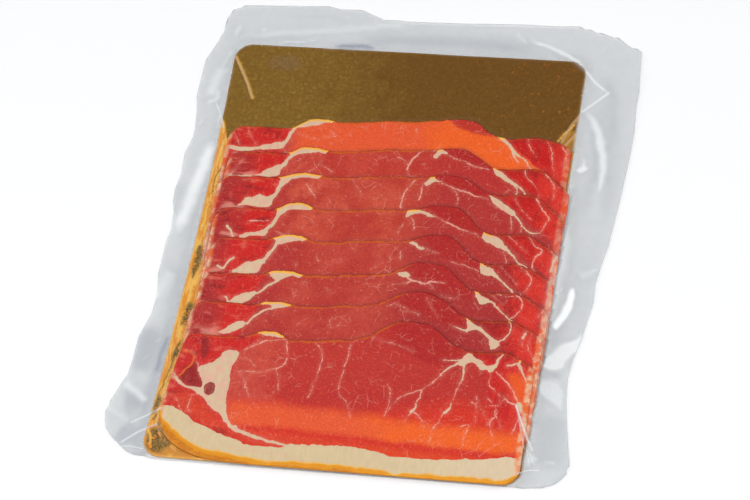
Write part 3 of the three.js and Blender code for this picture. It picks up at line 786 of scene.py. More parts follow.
def spaced(length, step):
    """Distances from one rim to the other: close at both rims and `step` apart between."""
    rim = np.array(RIM_STEPS)
    body = np.linspace(rim[-1], length - rim[-1], max(2, int(length / step)))
    return np.concatenate([rim[:-1], body, length - rim[-2::-1]])


def surface_rows(k, lower, upper):
    """The y of the surface's points, (columns, rows): rows are close at the rims and where it shows."""
    lower, upper = lower[:, None], upper[:, None]
    if k == LAST:
        even = np.linspace(FRONT_BODY, 1 - FRONT_BODY, FRONT_ROWS)
        share = np.concatenate([FRONT_RIM, even, 1 - FRONT_RIM[::-1]])
        return lower + (upper - lower) * share[None, :]
    rows = np.concatenate([RIM_STEPS, np.arange(1, VISIBLE / GRID) * GRID + RIM_STEPS[-1]])
    shown = upper - np.minimum(rows[None, ::-1], 0.7 * (upper - lower))
    hidden = np.linspace(0, 1, HIDDEN_ROWS, endpoint=False)
    return np.concatenate([lower + (shown[:, :1] - lower) * hidden[None, :], shown], axis=1)


def make_slice(k):
    """Slice k + 1, a thin sheet with rounded edges that steps down over the slices below it."""
    pairs = outline_of(k)
    front = k == LAST
    x = pairs[0, 0] + spaced(pairs[-1, 0] - pairs[0, 0], FRONT_GRID if front else GRID)
    lower, upper = edges_at(pairs, x, k)
    if front:
        lower = lower - RIND_OVERHANG * smooth(0, 8, x - x[0]) * smooth(0, 5, x[-1] - x)
    y = surface_rows(k, lower, upper)
    xx = np.broadcast_to(x[:, None], y.shape).copy()
    from_end = np.minimum(x[-1] - xx, xx - x[0])
    rim = np.minimum.reduce([upper[:, None] - y, y - lower[:, None], from_end])
    top = base_z(k, y) + SLICE_T - rounded_drop(rim, RIM_ROUND)
    above_next = y * 0 + 6 if front else y - edges_at(outline_of(k + 1), x, k + 1)[1][:, None]
    masks = slice_masks(k, xx, y, top, upper[:, None] - y, above_next, from_end)
    grain = 0.5 * rough_noise(xx, y, 2.2, 160 + k) + 0.7 * noise(xx, y, 6, 170 + k)
    raised = 0.8 * np.clip(masks["fat"] + masks["vein"], 0, 1) - 0.6
    top = top + RELIEF * smooth(0, 1.5, rim) * (grain + raised)
    t = np.linspace(0, 1, UNDER_ROWS)
    under_y = y[:, :1] + (y[:, -1:] - y[:, :1]) * t[None, :]
    under = np.stack([np.broadcast_to(x[:, None], under_y.shape), under_y, base_z(k, under_y)], -1)
    obj = closed_sheet(f"bacon_slice_{k + 1}", np.stack([xx, y, top], -1), under, masks)
    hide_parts(SLICE_NODES[k])
    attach(obj, "root")
    obj.data.materials.append(bacon_material())
    return obj


# ---------------------------------------------------------------- node materials


class Tree:
    """Short ways to add and join shader nodes."""

    def __init__(self, name):
        self.material = bpy.data.materials.new(name)
        self.material.use_nodes = True
        self.nodes, self.links = self.material.node_tree.nodes, self.material.node_tree.links
        self.nodes.clear()
        self.out = self.nodes.new("ShaderNodeOutputMaterial")
        self.place = self.add("ShaderNodeTexCoord").outputs["Object"]

    def put(self, socket, value):
        """Joins the socket to another, or sets it."""
        if isinstance(value, bpy.types.NodeSocket):
            self.links.new(value, socket)
        elif isinstance(value, tuple) and socket.type == "RGBA":
            socket.default_value = (*value, 1)
        else:
            socket.default_value = value

    def add(self, kind, inputs=None, **settings):
        """A node of that kind, with its settings and inputs."""
        node = self.nodes.new(kind)
        for key, value in settings.items():
            setattr(node, key, value)
        for key, value in (inputs or {}).items():
            self.put(node.inputs[key], value)
        return node

    def math(self, operation, a, b=0.0, clamp=False):
        return self.add("ShaderNodeMath", {0: a, 1: b}, operation=operation, use_clamp=clamp).outputs[0]

    def sum(self, a, b):
        return self.math("ADD", a, b)

    def less(self, a, b):
        """a less b."""
        return self.math("SUBTRACT", a, b)

    def product(self, a, b):
        return self.math("MULTIPLY", a, b)

    def most(self, a, b):
        """The larger of the two."""
        return self.math("MAXIMUM", a, b)

    def vector(self, operation, a, b, output="Vector"):
        """A vector operation on two vectors, or on a vector and a number for SCALE."""
        second = "Scale" if operation == "SCALE" else 1
        return self.add("ShaderNodeVectorMath", {0: a, second: b}, operation=operation).outputs[output]

    def ramp(self, value, low, high, to_low=0.0, to_high=1.0):
        """value taken from low..high to to_low..to_high, smoothly and clamped."""
        inputs = {"Value": value, "From Min": low, "From Max": high, "To Min": to_low, "To Max": to_high}
        return self.add("ShaderNodeMapRange", inputs, interpolation_type="SMOOTHSTEP").outputs["Result"]

    def mix(self, amount, a, b):
        """Colour b over colour a."""
        inputs = {"Factor": amount, 6: a, 7: b}
        return self.add("ShaderNodeMix", inputs, data_type="RGBA").outputs[2]

    def times(self, colour, value):
        """A colour made lighter or darker by a value."""
        grey = self.add("ShaderNodeCombineColor", {"Red": value, "Green": value, "Blue": value}).outputs[0]
        inputs = {"Factor": 1.0, 6: colour, 7: grey}
        return self.add("ShaderNodeMix", inputs, data_type="RGBA", blend_type="MULTIPLY").outputs[2]

    def red(self, colour):
        """The red part of a colour, here a number that differs from cell to cell."""
        return self.add("ShaderNodeSeparateColor", {0: colour}).outputs[0]

    def mask(self, name):
        """One of the mesh's masks."""
        return self.add("ShaderNodeAttribute", attribute_name=name).outputs["Fac"]

    def cells(self, where, scale, feature="F1"):
        return self.add("ShaderNodeTexVoronoi", {"Vector": where, "Scale": scale}, feature=feature)

    def noise_node(self, scale, **inputs):
        """A noise texture over the object, stretched by a scale for each axis."""
        where = self.add("ShaderNodeMapping", {"Vector": self.place, "Scale": scale}).outputs[0]
        return self.add("ShaderNodeTexNoise", {"Vector": where, "Scale": 1.0, **inputs})

    def noise(self, size_mm, detail=3.0, stretch=(1, 1, 1), roughness=0.55):
        """Noise from 0 to 1 with features of about that size."""
        scale = tuple(s / (size_mm * MM) for s in stretch)
        return self.noise_node(scale, Detail=detail, Roughness=roughness).outputs["Fac"]

    def scaled_noise(self, size_mm, reach):
        """Noise as a vector of about that reach, in metres."""
        node = self.noise_node((1 / (size_mm * MM),) * 3, Detail=2.0)
        return self.vector("SCALE", self.vector("SUBTRACT", node.outputs["Color"], (0.5, 0.5, 0.5)), reach)

    def bump(self, height, distance_mm, strength=1.0):
        inputs = {"Height": height, "Distance": distance_mm * MM, "Strength": strength}
        return self.add("ShaderNodeBump", inputs).outputs["Normal"]

    def seen_place(self):
        """Where the line from the picture's viewpoint through each point meets the reading plane."""
        centre = Vector((CAMERA_AT + Vector(BOARD_CENTRE)) * MM)
        height = self.add("ShaderNodeSeparateXYZ", {"Vector": self.place}).outputs["Z"]
        share = self.math("DIVIDE", centre.z - READING_Z * MM, self.less(centre.z, height))
        away = self.vector("SCALE", self.vector("SUBTRACT", self.place, tuple(centre)), share)
        return self.vector("ADD", away, tuple(centre))

    def crease(self, seen, path, width_mm):
        """A crisp line along a path on the reading plane, as a mask; seen is what seen_place gives."""
        found = 0.0
        for a, b in zip(path[:-1], path[1:]):
            a, b = (Vector((np.array([*p, READING_Z]) + BOARD_CENTRE) * MM) for p in (a, b))
            from_a = self.vector("SUBTRACT", seen, tuple(a))
            along = self.vector("DOT_PRODUCT", from_a, tuple((b - a) / (b - a).length_squared), "Value")
            along = self.math("ADD", along, 0.0, clamp=True)
            step = self.vector("SCALE", tuple(b - a), along)
            away = self.vector("DISTANCE", from_a, step, "Value")
            found = self.most(found, self.ramp(away, width_mm * MM, 0.0))
        return found

    def finish(self, shader):
        """The material, with this shader on its surface."""
        self.links.new(shader, self.out.inputs["Surface"])
        return self.material


def srgb(r, g, b):
    """A colour given as 8-bit sRGB, in Blender's linear values."""
    return tuple((c / 255 / 12.92) if c <= 10 else ((c / 255 + 0.055) / 1.055) ** 2.4 for c in (r, g, b))


_made = {}


def once(function):
    """Makes a material the first time it is asked for, and gives the same one after that."""

    def wrapper():
        if function not in _made:
            _made[function] = function()
        return _made[function]

    return wrapper


MUSCLE = srgb(190, 58, 44)
MUSCLE_PALE = srgb(209, 84, 62)
MUSCLE_DEEP = srgb(172, 42, 42)
MUSCLE_DUSK = srgb(180, 46, 46)
FRONT_RED = srgb(192, 46, 40)
FRONT_PALE = srgb(204, 72, 58)
EMBER_RED = srgb(214, 48, 30)
LEFT_DEEP = srgb(166, 46, 46)
LEFT_LOBE = srgb(206, 30, 28)
LOBE_DARK = srgb(140, 22, 30)
LOBE_PINK = srgb(236, 120, 98)
RIGHT_LOBE = srgb(199, 22, 22)
RIGHT_PALE = srgb(217, 50, 38)
CRIMSON = srgb(178, 32, 32)
# Painted orange glow.
GLOW = srgb(230, 88, 46)
GLOW_ORANGE = srgb(240, 98, 32)
VEIN = srgb(238, 172, 152)
FAT = srgb(216, 190, 156)
FAT_PINK = srgb(224, 176, 152)
BAND_FAT = srgb(216, 193, 153)
BAND_PALE = srgb(221, 199, 166)
RIND_PALE = srgb(238, 186, 92)
RIND = srgb(226, 148, 22)
RIND_DEEP = srgb(188, 100, 18)
WALL_ORANGE = srgb(236, 112, 50)
WALL_CREAM = srgb(236, 196, 158)
# Colours of the upper edge: a painted highlight, orange or yellow over fat, and a painted shadow as a dark
# line.
EDGE_GLOW_ORANGE = srgb(206, 92, 22)
EDGE_GLOW_YELLOW = srgb(250, 180, 40)
EDGE_SHADOW = srgb(112, 20, 18)


def main_muscle(t, mid, broad, patchy):
    """Mottled lean, duskier to the right, and fresher and redder where the slice's masks say so."""
    colour = t.mix(t.ramp(broad, 0.36, 0.66), MUSCLE, MUSCLE_PALE)
    colour = t.mix(t.ramp(mid, 0.48, 0.75, 0, 0.65), colour, MUSCLE_DEEP)
    colour = t.mix(t.ramp(patchy, 0.05, 0.34, 0, 0.85), colour, MUSCLE_DUSK)
    colour = t.mix(t.ramp(patchy, -0.36, -0.46, 0, 0.6), colour, MUSCLE_DUSK)
    deep = t.mask("deep")
    colour = t.mix(t.product(deep, 0.45), colour, MUSCLE_DUSK)
    colour = t.mix(t.product(deep, t.ramp(patchy, 0.05, 0.3, 0, 0.25)), colour, LOBE_DARK)
    to_left = t.less(t.product(broad, 0.3), t.mask("across"))
    fresh = t.mix(t.ramp(to_left, 0.42, 0.56), FRONT_RED, FRONT_PALE)
    fresh = t.mix(t.ramp(mid, 0.5, 0.7, 0, 0.5), fresh, MUSCLE_DUSK)
    colour = t.mix(t.mask("fresh"), colour, fresh)
    return t.mix(t.mask("ember"), colour, EMBER_RED)


def left_lobe(t, streaks, fibres):
    """The left side muscle, with dark and pale fibres along it."""
    colour = t.mix(t.mask("dusk"), LEFT_LOBE, LEFT_DEEP)
    colour = t.mix(t.ramp(streaks, 0.54, 0.72, 0, 0.75), colour, LOBE_DARK)
    colour = t.mix(t.ramp(streaks, 0.44, 0.3, 0, 0.5), colour, LOBE_PINK)
    return t.mix(t.ramp(fibres, 0.55, 0.75, 0, 0.3), colour, LOBE_PINK)


def right_lobe(t, patchy, fibres):
    """The right side muscle, in bundles, darker along the slice's upper edge."""
    colour = t.mix(t.ramp(patchy, 0.62, 0.84), RIGHT_LOBE, RIGHT_PALE)
    colour = t.mix(t.product(t.mask("deep"), t.ramp(patchy, 0.78, 0.66, 0, 0.55)), colour, LOBE_DARK)
    bundles = t.noise(5, 4, (1.1, 0.5, 1))
    colour = t.mix(t.ramp(bundles, 0.52, 0.7, 0, 0.4), colour, LOBE_DARK)
    colour = t.mix(t.ramp(t.mask("edge"), 4.5, 0.8, 0, 0.4), colour, LOBE_DARK)
    colour = t.mix(t.ramp(bundles, 0.46, 0.34, 0, 0.4), colour, RIGHT_PALE)
    return t.mix(t.ramp(fibres, 0.52, 0.75, 0, 0.3), colour, RIGHT_PALE)


def marbling(t, left, right, fibres, streaks):
    """How pale the lean is: fine branching lines, specks, and what lies round fat and veins."""
    bent = t.vector("ADD", t.place, t.scaled_noise(9, 0.003))
    net = 0.0
    for scale, width, where in ((110.0, 0.03, t.noise(9, 2)), (260.0, 0.045, t.noise(6, 2))):
        edge = t.cells(bent, scale, "DISTANCE_TO_EDGE").outputs[0]
        net = t.most(net, t.product(t.ramp(edge, width, 0.0), t.ramp(where, 0.54, 0.66)))
    cells = t.cells(bent, 420.0).outputs
    specks = t.product(t.ramp(cells["Distance"], 0.3, 0.1), t.ramp(t.red(cells["Color"]), 0.72, 0.8))
    pale = t.most(t.product(net, 0.32), t.product(specks, 0.2))
    pale = t.product(pale, t.less(1.0, t.product(t.most(left, right), 0.5)))
    around = t.product(t.mask("halo"), t.ramp(fibres, 0.35, 0.65, 0.2, 0.8))
    tip = t.product(t.mask("tip"), t.ramp(streaks, 0.56, 0.42))
    return t.most(t.most(pale, t.product(around, 0.42)), t.product(tip, 0.45))


def fat_colour(t, mid, fibres):
    """Cream fat, pinker in places, and paler along the rind."""
    colour = t.mix(t.ramp(mid, 0.35, 0.7), FAT, FAT_PINK)
    band = t.mix(t.ramp(t.mask("across"), 0.1, 0.8), BAND_FAT, BAND_PALE)
    band = t.mix(t.ramp(t.noise(4, 4, (0.15, 1, 1)), 0.5, 0.7, 0, 0.5), band, FAT_PINK)
    colour = t.mix(t.mask("band"), colour, band)
    return t.times(colour, t.ramp(fibres, 0.3, 0.7, 0.95, 1.03))


def with_cut_edge(t, colour, mid, fat):
    """The colour with its upper edge: a painted orange highlight on the left, a painted yellow highlight on
    fat, and a dark painted shadow elsewhere.
    """
    depth = t.sum(t.mask("edge"), t.product(t.less(mid, 0.5), 2.0))
    edge_glow = t.product(t.mask("edge_glow"), t.ramp(t.noise(5, 3), 0.38, 0.55, 0.45, 1))
    line = t.product(t.ramp(depth, 1.7, 0.7), t.most(edge_glow, fat))
    colour = t.mix(t.product(line, 0.9), colour, t.mix(fat, EDGE_GLOW_ORANGE, EDGE_GLOW_YELLOW))
    dark = t.product(t.ramp(depth, 0.75, 0.2), t.less(0.8, t.product(edge_glow, 0.4)))
    dark = t.product(dark, t.less(1.0, t.product(fat, 0.9)))
    return t.mix(dark, colour, EDGE_SHADOW)


def with_end_walls(t, colour, fine, mid):
    """The colour with the orange and cream of the slice's ends."""
    wall = t.mix(t.ramp(t.noise(4, 3), 0.4, 0.6), WALL_ORANGE, WALL_CREAM)
    wall = t.mix(t.ramp(fine, 0.56, 0.66, 0, 0.15), wall, RIGHT_LOBE)
    return t.mix(t.product(t.mask("end"), t.ramp(mid, 0.35, 0.6, 0.6, 1)), colour, wall)


def with_rind(t, colour, mid, jitter):
    """The colour with the rind, from pale yellow to brown at its rim."""
    rind = t.sum(t.mask("rind"), t.product(jitter, 0.35))
    colour = t.mix(t.ramp(rind, 0.0, 0.35), colour, RIND_PALE)
    colour = t.mix(t.ramp(rind, 0.15, 0.5), colour, RIND)
    return t.mix(t.ramp(t.sum(rind, t.product(mid, 0.5)), 1.0, 1.5), colour, RIND_DEEP)


@once
def bacon_material():
    t = Tree("bacon")
    fine, mid, broad = t.noise(0.8, 3), t.noise(3.2, 3), t.noise(13, 2)
    fibres, streaks = t.noise(1.5, 4, (1, 0.3, 1)), t.noise(4.5, 4, (0.45, 1.2, 1))
    left, right = t.mask("left"), t.mask("right")
    patchy = t.sum(t.mask("across"), t.product(t.less(broad, 0.5), 0.4))
    jitter = t.product(t.less(fine, 0.5), 0.9)
    colour = main_muscle(t, mid, broad, patchy)
    colour = t.mix(left, colour, left_lobe(t, streaks, fibres))
    colour = t.mix(right, colour, right_lobe(t, patchy, fibres))
    colour = t.mix(t.mask("dark"), colour, LOBE_DARK)
    colour = t.mix(t.product(t.mask("hump"), t.ramp(mid, 0.3, 0.6, 0.6, 1)), colour, CRIMSON)
    # A painted orange glow.
    colour = t.mix(t.mask("glow"), colour, t.mix(t.ramp(patchy, 0.05, 0.3), GLOW, GLOW_ORANGE))
    # Grain, and painted shade where the next slice lies on this one.
    grain = t.ramp(fine, 0.28, 0.75, 0.88, 1.1)
    shade = t.ramp(t.sum(t.mask("shade"), t.product(mid, 1.5)), 0.6, 3.6, 0.76, 1.0)
    colour = t.times(colour, t.product(grain, shade))
    colour = t.mix(marbling(t, left, right, fibres, streaks), colour, VEIN)
    colour = t.mix(t.ramp(t.sum(t.mask("vein"), jitter), 0.24, 0.6, 0, 0.82), colour, VEIN)
    fat = t.ramp(t.sum(t.mask("fat"), jitter), 0.34, 0.64)
    colour = t.mix(fat, colour, fat_colour(t, mid, fibres))
    colour = t.mix(t.product(t.mask("rust"), t.ramp(mid, 0.35, 0.6, 0.4, 1)), colour, WALL_ORANGE)
    colour = with_cut_edge(t, colour, mid, fat)
    colour = with_end_walls(t, colour, fine, mid)
    colour = with_rind(t, colour, mid, jitter)
    inputs = {"Base Color": colour, "Roughness": t.ramp(fine, 0.3, 0.7, 0.4, 0.55),
              "Specular IOR Level": 0.2, "Normal": t.bump(t.sum(fine, fibres), 0.08, 0.6)}
    return t.finish(t.add("ShaderNodeBsdfPrincipled", inputs).outputs[0])


GOLD = srgb(200, 148, 60)
# Painted shade, for the foil's darker right side.
GOLD_SHADED = srgb(180, 124, 50)
GOLD_FLECK = srgb(240, 196, 92)
GOLD_SHADE = srgb(150, 104, 40)
GOLD_SCRATCH = srgb(240, 150, 60)
# Painted light on the lit strip.
GOLD_LIT = srgb(250, 196, 96)
GOLD_AMBER = srgb(236, 150, 44)
# Painted highlights: the pale band, lines, glints and the rim.
GOLD_SHEEN = srgb(232, 184, 120)
GOLD_HIGHLIGHT = srgb(255, 196, 92)
GOLD_LOWER = srgb(206, 142, 60)
GOLD_DULL = srgb(158, 122, 56)
GOLD_DARK = srgb(112, 84, 34)
# Painted highlight along creases.
GOLD_CREASE_LIGHT = srgb(240, 206, 176)
GOLD_GREY = srgb(206, 164, 118)
CARD = srgb(226, 220, 208)
CARD_SHADE = srgb(214, 207, 192)


def bare_foil(t, smudge, fine):
    """The gold face: painted shade that makes it darker to the right, with grains, flecks, scratches and a
    grey smudge.
    """
    side = t.sum(t.mask("across"), t.product(t.less(smudge, 0.5), 0.8))
    colour = t.mix(t.ramp(side, -0.5, 0.1), GOLD, GOLD_SHADED)
    grains = t.noise(1.7, 4, roughness=0.75)
    flecks = t.product(t.ramp(grains, 0.48, 0.72), t.ramp(side, 0.2, -0.5, 0.1, 0.7))
    colour = t.mix(flecks, colour, GOLD_FLECK)
    colour = t.mix(t.product(t.ramp(grains, 0.46, 0.3), 0.25), colour, GOLD_SHADE)
    scratches = t.product(t.ramp(t.noise(1.2, 3, (1, 0.5, 1)), 0.58, 0.7), t.ramp(smudge, 0.42, 0.6))
    colour = t.mix(t.product(scratches, t.ramp(side, 0.1, 0.6)), colour, GOLD_SCRATCH)
    return t.mix(t.product(t.mask("grey"), t.ramp(fine, 0.4, 0.6, 0.2, 0.6)), colour, GOLD_GREY)


def with_margins(t, colour, fine, streaks):
    """The colour with the crumpled corner and its painted glints, and the places beside the slices: lit and
    pale ones with painted light, and dull ones; also painted highlights on lines and along the rim.
    """
    facet = t.red(t.cells(t.place, 420.0).outputs["Color"])
    # The crumpled corner: amber facets, some with painted glints.
    bits = t.mix(t.ramp(facet, 0.8, 0.86), GOLD_LOWER, GOLD_HIGHLIGHT)
    crumpled = t.mix(t.ramp(facet, 0.45, 0.55), GOLD_AMBER, bits)
    colour = t.mix(t.mask("lower"), colour, t.mix(0.6, crumpled, GOLD_LOWER))
    # Painted light on the lit strip.
    lines = t.noise(1.3, 3, (1, 0.13, 1), 0.65)
    lit = t.mix(t.ramp(lines, 0.42, 0.58), GOLD_AMBER, GOLD_LIT)
    lit = t.mix(t.ramp(fine, 0.6, 0.68, 0, 0.6), lit, GOLD_DULL)
    colour = t.mix(t.mask("lit"), colour, lit)
    # Painted highlights on the pale band, on lines and along the rim.
    colour = t.mix(t.product(t.mask("pale"), t.ramp(streaks, 0.35, 0.5, 0.4, 1)), colour, GOLD_SHEEN)
    dull = t.mix(t.ramp(facet, 0.7, 0.8), GOLD_DULL, GOLD_AMBER)
    colour = t.mix(t.mask("dull"), colour, t.mix(t.ramp(fine, 0.42, 0.56), GOLD_DARK, dull))
    colour = t.mix(t.product(t.mask("line"), t.ramp(streaks, 0.35, 0.5, 0.5, 1)), colour, GOLD_HIGHLIGHT)
    return t.mix(t.product(t.mask("rim"), 0.25), colour, GOLD_HIGHLIGHT)


def foil_creases(t):
    """Painted highlights of the foil's creases, a cream line and a glint beside each, as two masks."""
    glint, cream = 0.0, 0.0
    seen = t.seen_place()
    for strength, width, path in FOIL_CREASES:
        beside = [(px + GLINT_ASIDE, py) for px, py in path]
        cream = t.most(cream, t.product(t.crease(seen, path, width), strength))
        glint = t.most(glint, t.product(t.crease(seen, beside, 1.6 * width), strength))
    return cream, glint


@once
def gold_material():
    t = Tree("gold_foil")
    smudge, fine, streaks = t.noise(9, 3), t.noise(0.9, 4), t.noise(2.4, 4, (1, 0.4, 1))
    colour = bare_foil(t, smudge, fine)
    colour = with_margins(t, colour, fine, streaks)
    cream, glint = foil_creases(t)
    # Painted highlights along the creases.
    colour = t.mix(glint, colour, GOLD_HIGHLIGHT)
    colour = t.mix(cream, colour, GOLD_CREASE_LIGHT)
    # The foil wraps the edges: the back is plain card.
    height = t.add("ShaderNodeSeparateXYZ", {"Vector": t.place}).outputs["Z"]
    face = t.ramp(height, (BOARD_LOW + 0.1) * MM, (BOARD_LOW + 0.3) * MM)
    card = t.mix(t.ramp(t.noise(1.5, 3, (1, 0.3, 1)), 0.35, 0.65), CARD, CARD_SHADE)
    colour = t.mix(face, card, colour)
    # Less metallic where light is painted, so that the painted colours show.
    glow = t.most(t.mask("lit"), t.most(t.mask("line"), t.mask("lower")))
    glow = t.most(glow, t.most(glint, cream))
    metal = t.product(face, t.ramp(glow, 0, 1, 0.9, 0.15))
    relief = t.bump(t.sum(t.product(fine, 0.7), streaks), 0.15, 0.6)
    inputs = {"Base Color": colour, "Metallic": metal, "Roughness": t.ramp(fine, 0.3, 0.7, 0.3, 0.42),
              "Normal": relief}
    return t.finish(t.add("ShaderNodeBsdfPrincipled", inputs).outputs[0])


FILM_GREY = srgb(211, 215, 217)
# Painted highlight.
FILM_HIGHLIGHT = srgb(250, 252, 252)
# Painted shade.
FILM_SHADE = srgb(150, 156, 170)
FILM_CLEAR = (0.96, 0.96, 0.96)


@once
def film_material():
    t = Tree("clear_film")
    free, milk_and_sheen, dim, drape_and_shade = t.mask("free"), t.mask("milk_and_sheen"), t.mask("dim"), t.mask("drape_and_shade")
    cloud, fine = t.noise(14, 3), t.noise(2.5, 3)
    grazing = t.math("POWER", t.add("ShaderNodeLayerWeight", {"Blend": 0.5}).outputs["Facing"], 3.0)
    shine = t.sum(t.product(grazing, 0.9), 0.035)
    shine = t.product(shine, t.ramp(drape_and_shade, 0, 1, 0.6, 0.2))
    clear = t.add("ShaderNodeBsdfTransparent", {"Color": FILM_CLEAR}).outputs[0]
    ripples = t.bump(fine, 0.1, 0.25)
    inputs = {"Color": (1, 1, 1), "Roughness": 0.15, "Normal": ripples}
    gloss = t.add("ShaderNodeBsdfGlossy", inputs).outputs[0]
    bright = t.add("ShaderNodeMixShader", {0: shine, 1: clear, 2: gloss}).outputs[0]
    # The film is hazy where it lies free, milky with a painted highlight where a fold catches the light,
    # white with painted highlights on creases, and hazier with painted shade where it is dim.
    haze = t.product(free, t.ramp(cloud, 0.3, 0.7, 0.38, 0.44))
    haze = t.sum(haze, t.product(milk_and_sheen, 0.5))
    haze = t.sum(haze, t.product(t.product(drape_and_shade, free), 0.15))
    haze = t.sum(haze, t.product(dim, 0.35))
    crisp = 0.0
    seen = t.seen_place()
    for strength, width, path in CREASES:
        crisp = t.most(crisp, t.product(t.crease(seen, path, width), strength))
    haze = t.math("MAXIMUM", haze, crisp, clamp=True)
    # Painted shade where the film is dim and where it hangs beside the contents.
    colour = t.mix(t.most(dim, t.product(drape_and_shade, 0.7)), FILM_GREY, FILM_SHADE)
    # Painted highlights on folds, shining patches and creases.
    colour = t.mix(t.most(t.ramp(milk_and_sheen, 0.1, 0.85), t.ramp(crisp, 0, 0.5)), colour, FILM_HIGHLIGHT)
    inputs = {"Base Color": colour, "Roughness": 0.5, "Specular IOR Level": 0.2, "Normal": ripples}
    milky = t.add("ShaderNodeBsdfPrincipled", inputs).outputs[0]
    return t.finish(t.add("ShaderNodeMixShader", {0: haze, 1: bright, 2: milky}).outputs[0])


# ---------------------------------------------------------------- board

BOARD_R = 8.5  # radius of its corners
BOARD_DRAW_IN = 2  # how far its left edge is drawn in at the middle
BOARD_RIM = 0.25  # radius of its rounded edge
FACE_SUNK = 0.05  # so that its ripples stay below the CAD's face
BOARD_ROWS, CORNER_STEPS, BACK_COLUMNS = 390, 9, 12
# The face's columns, as shares of its width: close at both rims, fine over the left margin, then even.
RIM_SHARES = (0, 0.0006, 0.0016)
EVEN_FROM, EVEN_TO = 0.003, 0.996
BOARD_MARGIN, MARGIN_COLUMNS, BOARD_COLUMNS = 0.09, 40, 150
GLINT_ASIDE = 0.7  # how far to the right of a crease its glint lies
# Creases with a painted highlight, a cream line with a glint beside it: strength, width, path.
FOIL_CREASES = [
    (0.6, 0.8, [(-84, 105), (-79.6, 97.4), (-75, 89), (-71.4, 81)]),
    (0.5, 0.9, [(86, 83), (82.2, 76), (79, 66)]), (0.55, 0.8, [(84.9, 71), (80.6, 64)]),
]
# The foil's marks on the reading plane. The bare strip left of the slices catches the light, which is
# painted on it.
LIT_FOIL = [
    (-92, 80), (-86, 80), (-84, 71), (-80.5, 63), (-77, 50), (-75, 30), (-74, 10), (-72, -10), (-72, -30),
    (-73, -50), (-76, -70), (-78, -90), (-80, -99), (-84, -101), (-92, -101),
]
LOWER_FOIL = [
    (-76, -101), (-70, -106), (-55, -111), (-40, -113), (-15, -114), (-15, -121), (-92, -121), (-92, -101),
]
# Specks of painted light on the right.
LIT_SPECKS = [(78, 70), (88, 68), (89, 30), (85, 20), (83, 40)]
# The pale band and the lines are painted highlights.
FOIL_BANDS = {  # mask: start width, end width, path
    "pale": [
        (2.4, 3.2, [(-84.6, 25), (-85.6, -5), (-87, -40), (-88, -70), (-87, -92)]),
    ],
    "line": [
        (0.8, 0.8, [(-83.5, 40), (-82.6, 10), (-82.8, -20), (-84.2, -50), (-83.6, -86)]),
        (1.4, 1.0, [(-85.6, -100), (-87, -107), (-84, -114.6), (-76, -117), (-58, -118)]),
        (1.2, 0.7, [(-80, -91), (-84.4, -99)]), (1.0, 0.6, [(-84, -102), (-82, -105), (-80.6, -109)]),
        (1.0, 0.8, [(83.6, 76), (80, 71), (77, 65.6)]),
    ],
    "dull": [
        (0.8, 0.5, [(-78, -57), (-80, -71), (-82.6, -86)]),
        (0.7, 0.5, [(-78, 40), (-80, 34), (-79.4, 26)]),
    ],
}
DULL_FOIL = [
    [(-82.8, -84), (-80.8, -86), (-80.6, -92), (-81.4, -97), (-83.4, -96)],
    [(-80, -4), (-77.6, -6), (-77.3, -14), (-79.4, -22), (-80.6, -14)],
    [(-78.6, -35), (-75.3, -38), (-77, -47), (-80, -46.5), (-79.6, -40)],
    [(-78.6, -56), (-77, -59), (-79, -67), (-80.4, -64)],
    [(-82, -103.4), (-77, -101), (-73, -104), (-72.4, -110), (-77, -113.4), (-82.6, -111)],
]
GREY_FOIL = [(-67, 104), (-60, 108), (-53, 106), (-51, 101), (-56, 98.5), (-65, 99.5)]


def foil_masks(x, y, rim):
    """The foil's marks at x, y, as masks from 0 to 1; rim is the distance from the board's edge."""
    rx, ry = as_read(x, y, BOARD_TOP)
    rx = rx + 0.3 * noise(rx, ry, 2.4, 211) + 0.15 * noise(rx, ry, 0.9, 212)
    ry = ry + 0.5 * noise(rx, ry, 3, 213)
    masks = {name: np.zeros(x.shape) for name in ("lit", "lower", "dull", "grey", "pale", "line")}
    patch(masks["lit"], rx, ry, LIT_FOIL)
    masks["lit"] *= smooth(82, 70, ry + 2 * noise(rx, ry, 2.2, 214))
    patch(masks["lit"], rx, ry, LIT_SPECKS, 0.45, 2)
    patch(masks["lower"], rx, ry, LOWER_FOIL)
    for outline in DULL_FOIL:
        patch(masks["dull"], rx, ry, outline, 1.0, 1.2)
    patch(masks["grey"], rx, ry, GREY_FOIL, 1.0, 2.5)
    for name, bands in FOIL_BANDS.items():
        for start, end, path in bands:
            stroke(masks[name], rx, ry, path, start, end, 1.0, 0.6)
    # A painted highlight along the board's edge.
    masks["rim"] = smooth(1.6, 0.2, rim)
    masks["across"] = rx / 100
    return masks


def board_grid():
    """The x and y of the points on the board's face, and its left edge and reach to the right by row."""
    half = BOARD_L / 2
    ends = half - BOARD_R + BOARD_R * np.sin(np.linspace(0, math.pi / 2, CORNER_STEPS))
    even = np.linspace(BOARD_R - half, half - BOARD_R, BOARD_ROWS)[1:-1]
    y = np.concatenate([-ends[::-1], even, ends])
    past = np.clip(np.abs(y) - (half - BOARD_R), 0, BOARD_R)
    reach = (BOARD_W / 2 - BOARD_R + np.sqrt(BOARD_R**2 - past**2))[:, None]
    left = -reach + draw_in(y)[:, None]
    fine = np.linspace(EVEN_FROM, BOARD_MARGIN, MARGIN_COLUMNS, endpoint=False)
    wide = np.linspace(BOARD_MARGIN, EVEN_TO, BOARD_COLUMNS)
    share = np.concatenate([RIM_SHARES, fine, wide, 1 - np.array(RIM_SHARES[::-1])])
    x = left + (reach - left) * share[None, :]
    return x, np.broadcast_to(y[:, None], x.shape), left, reach


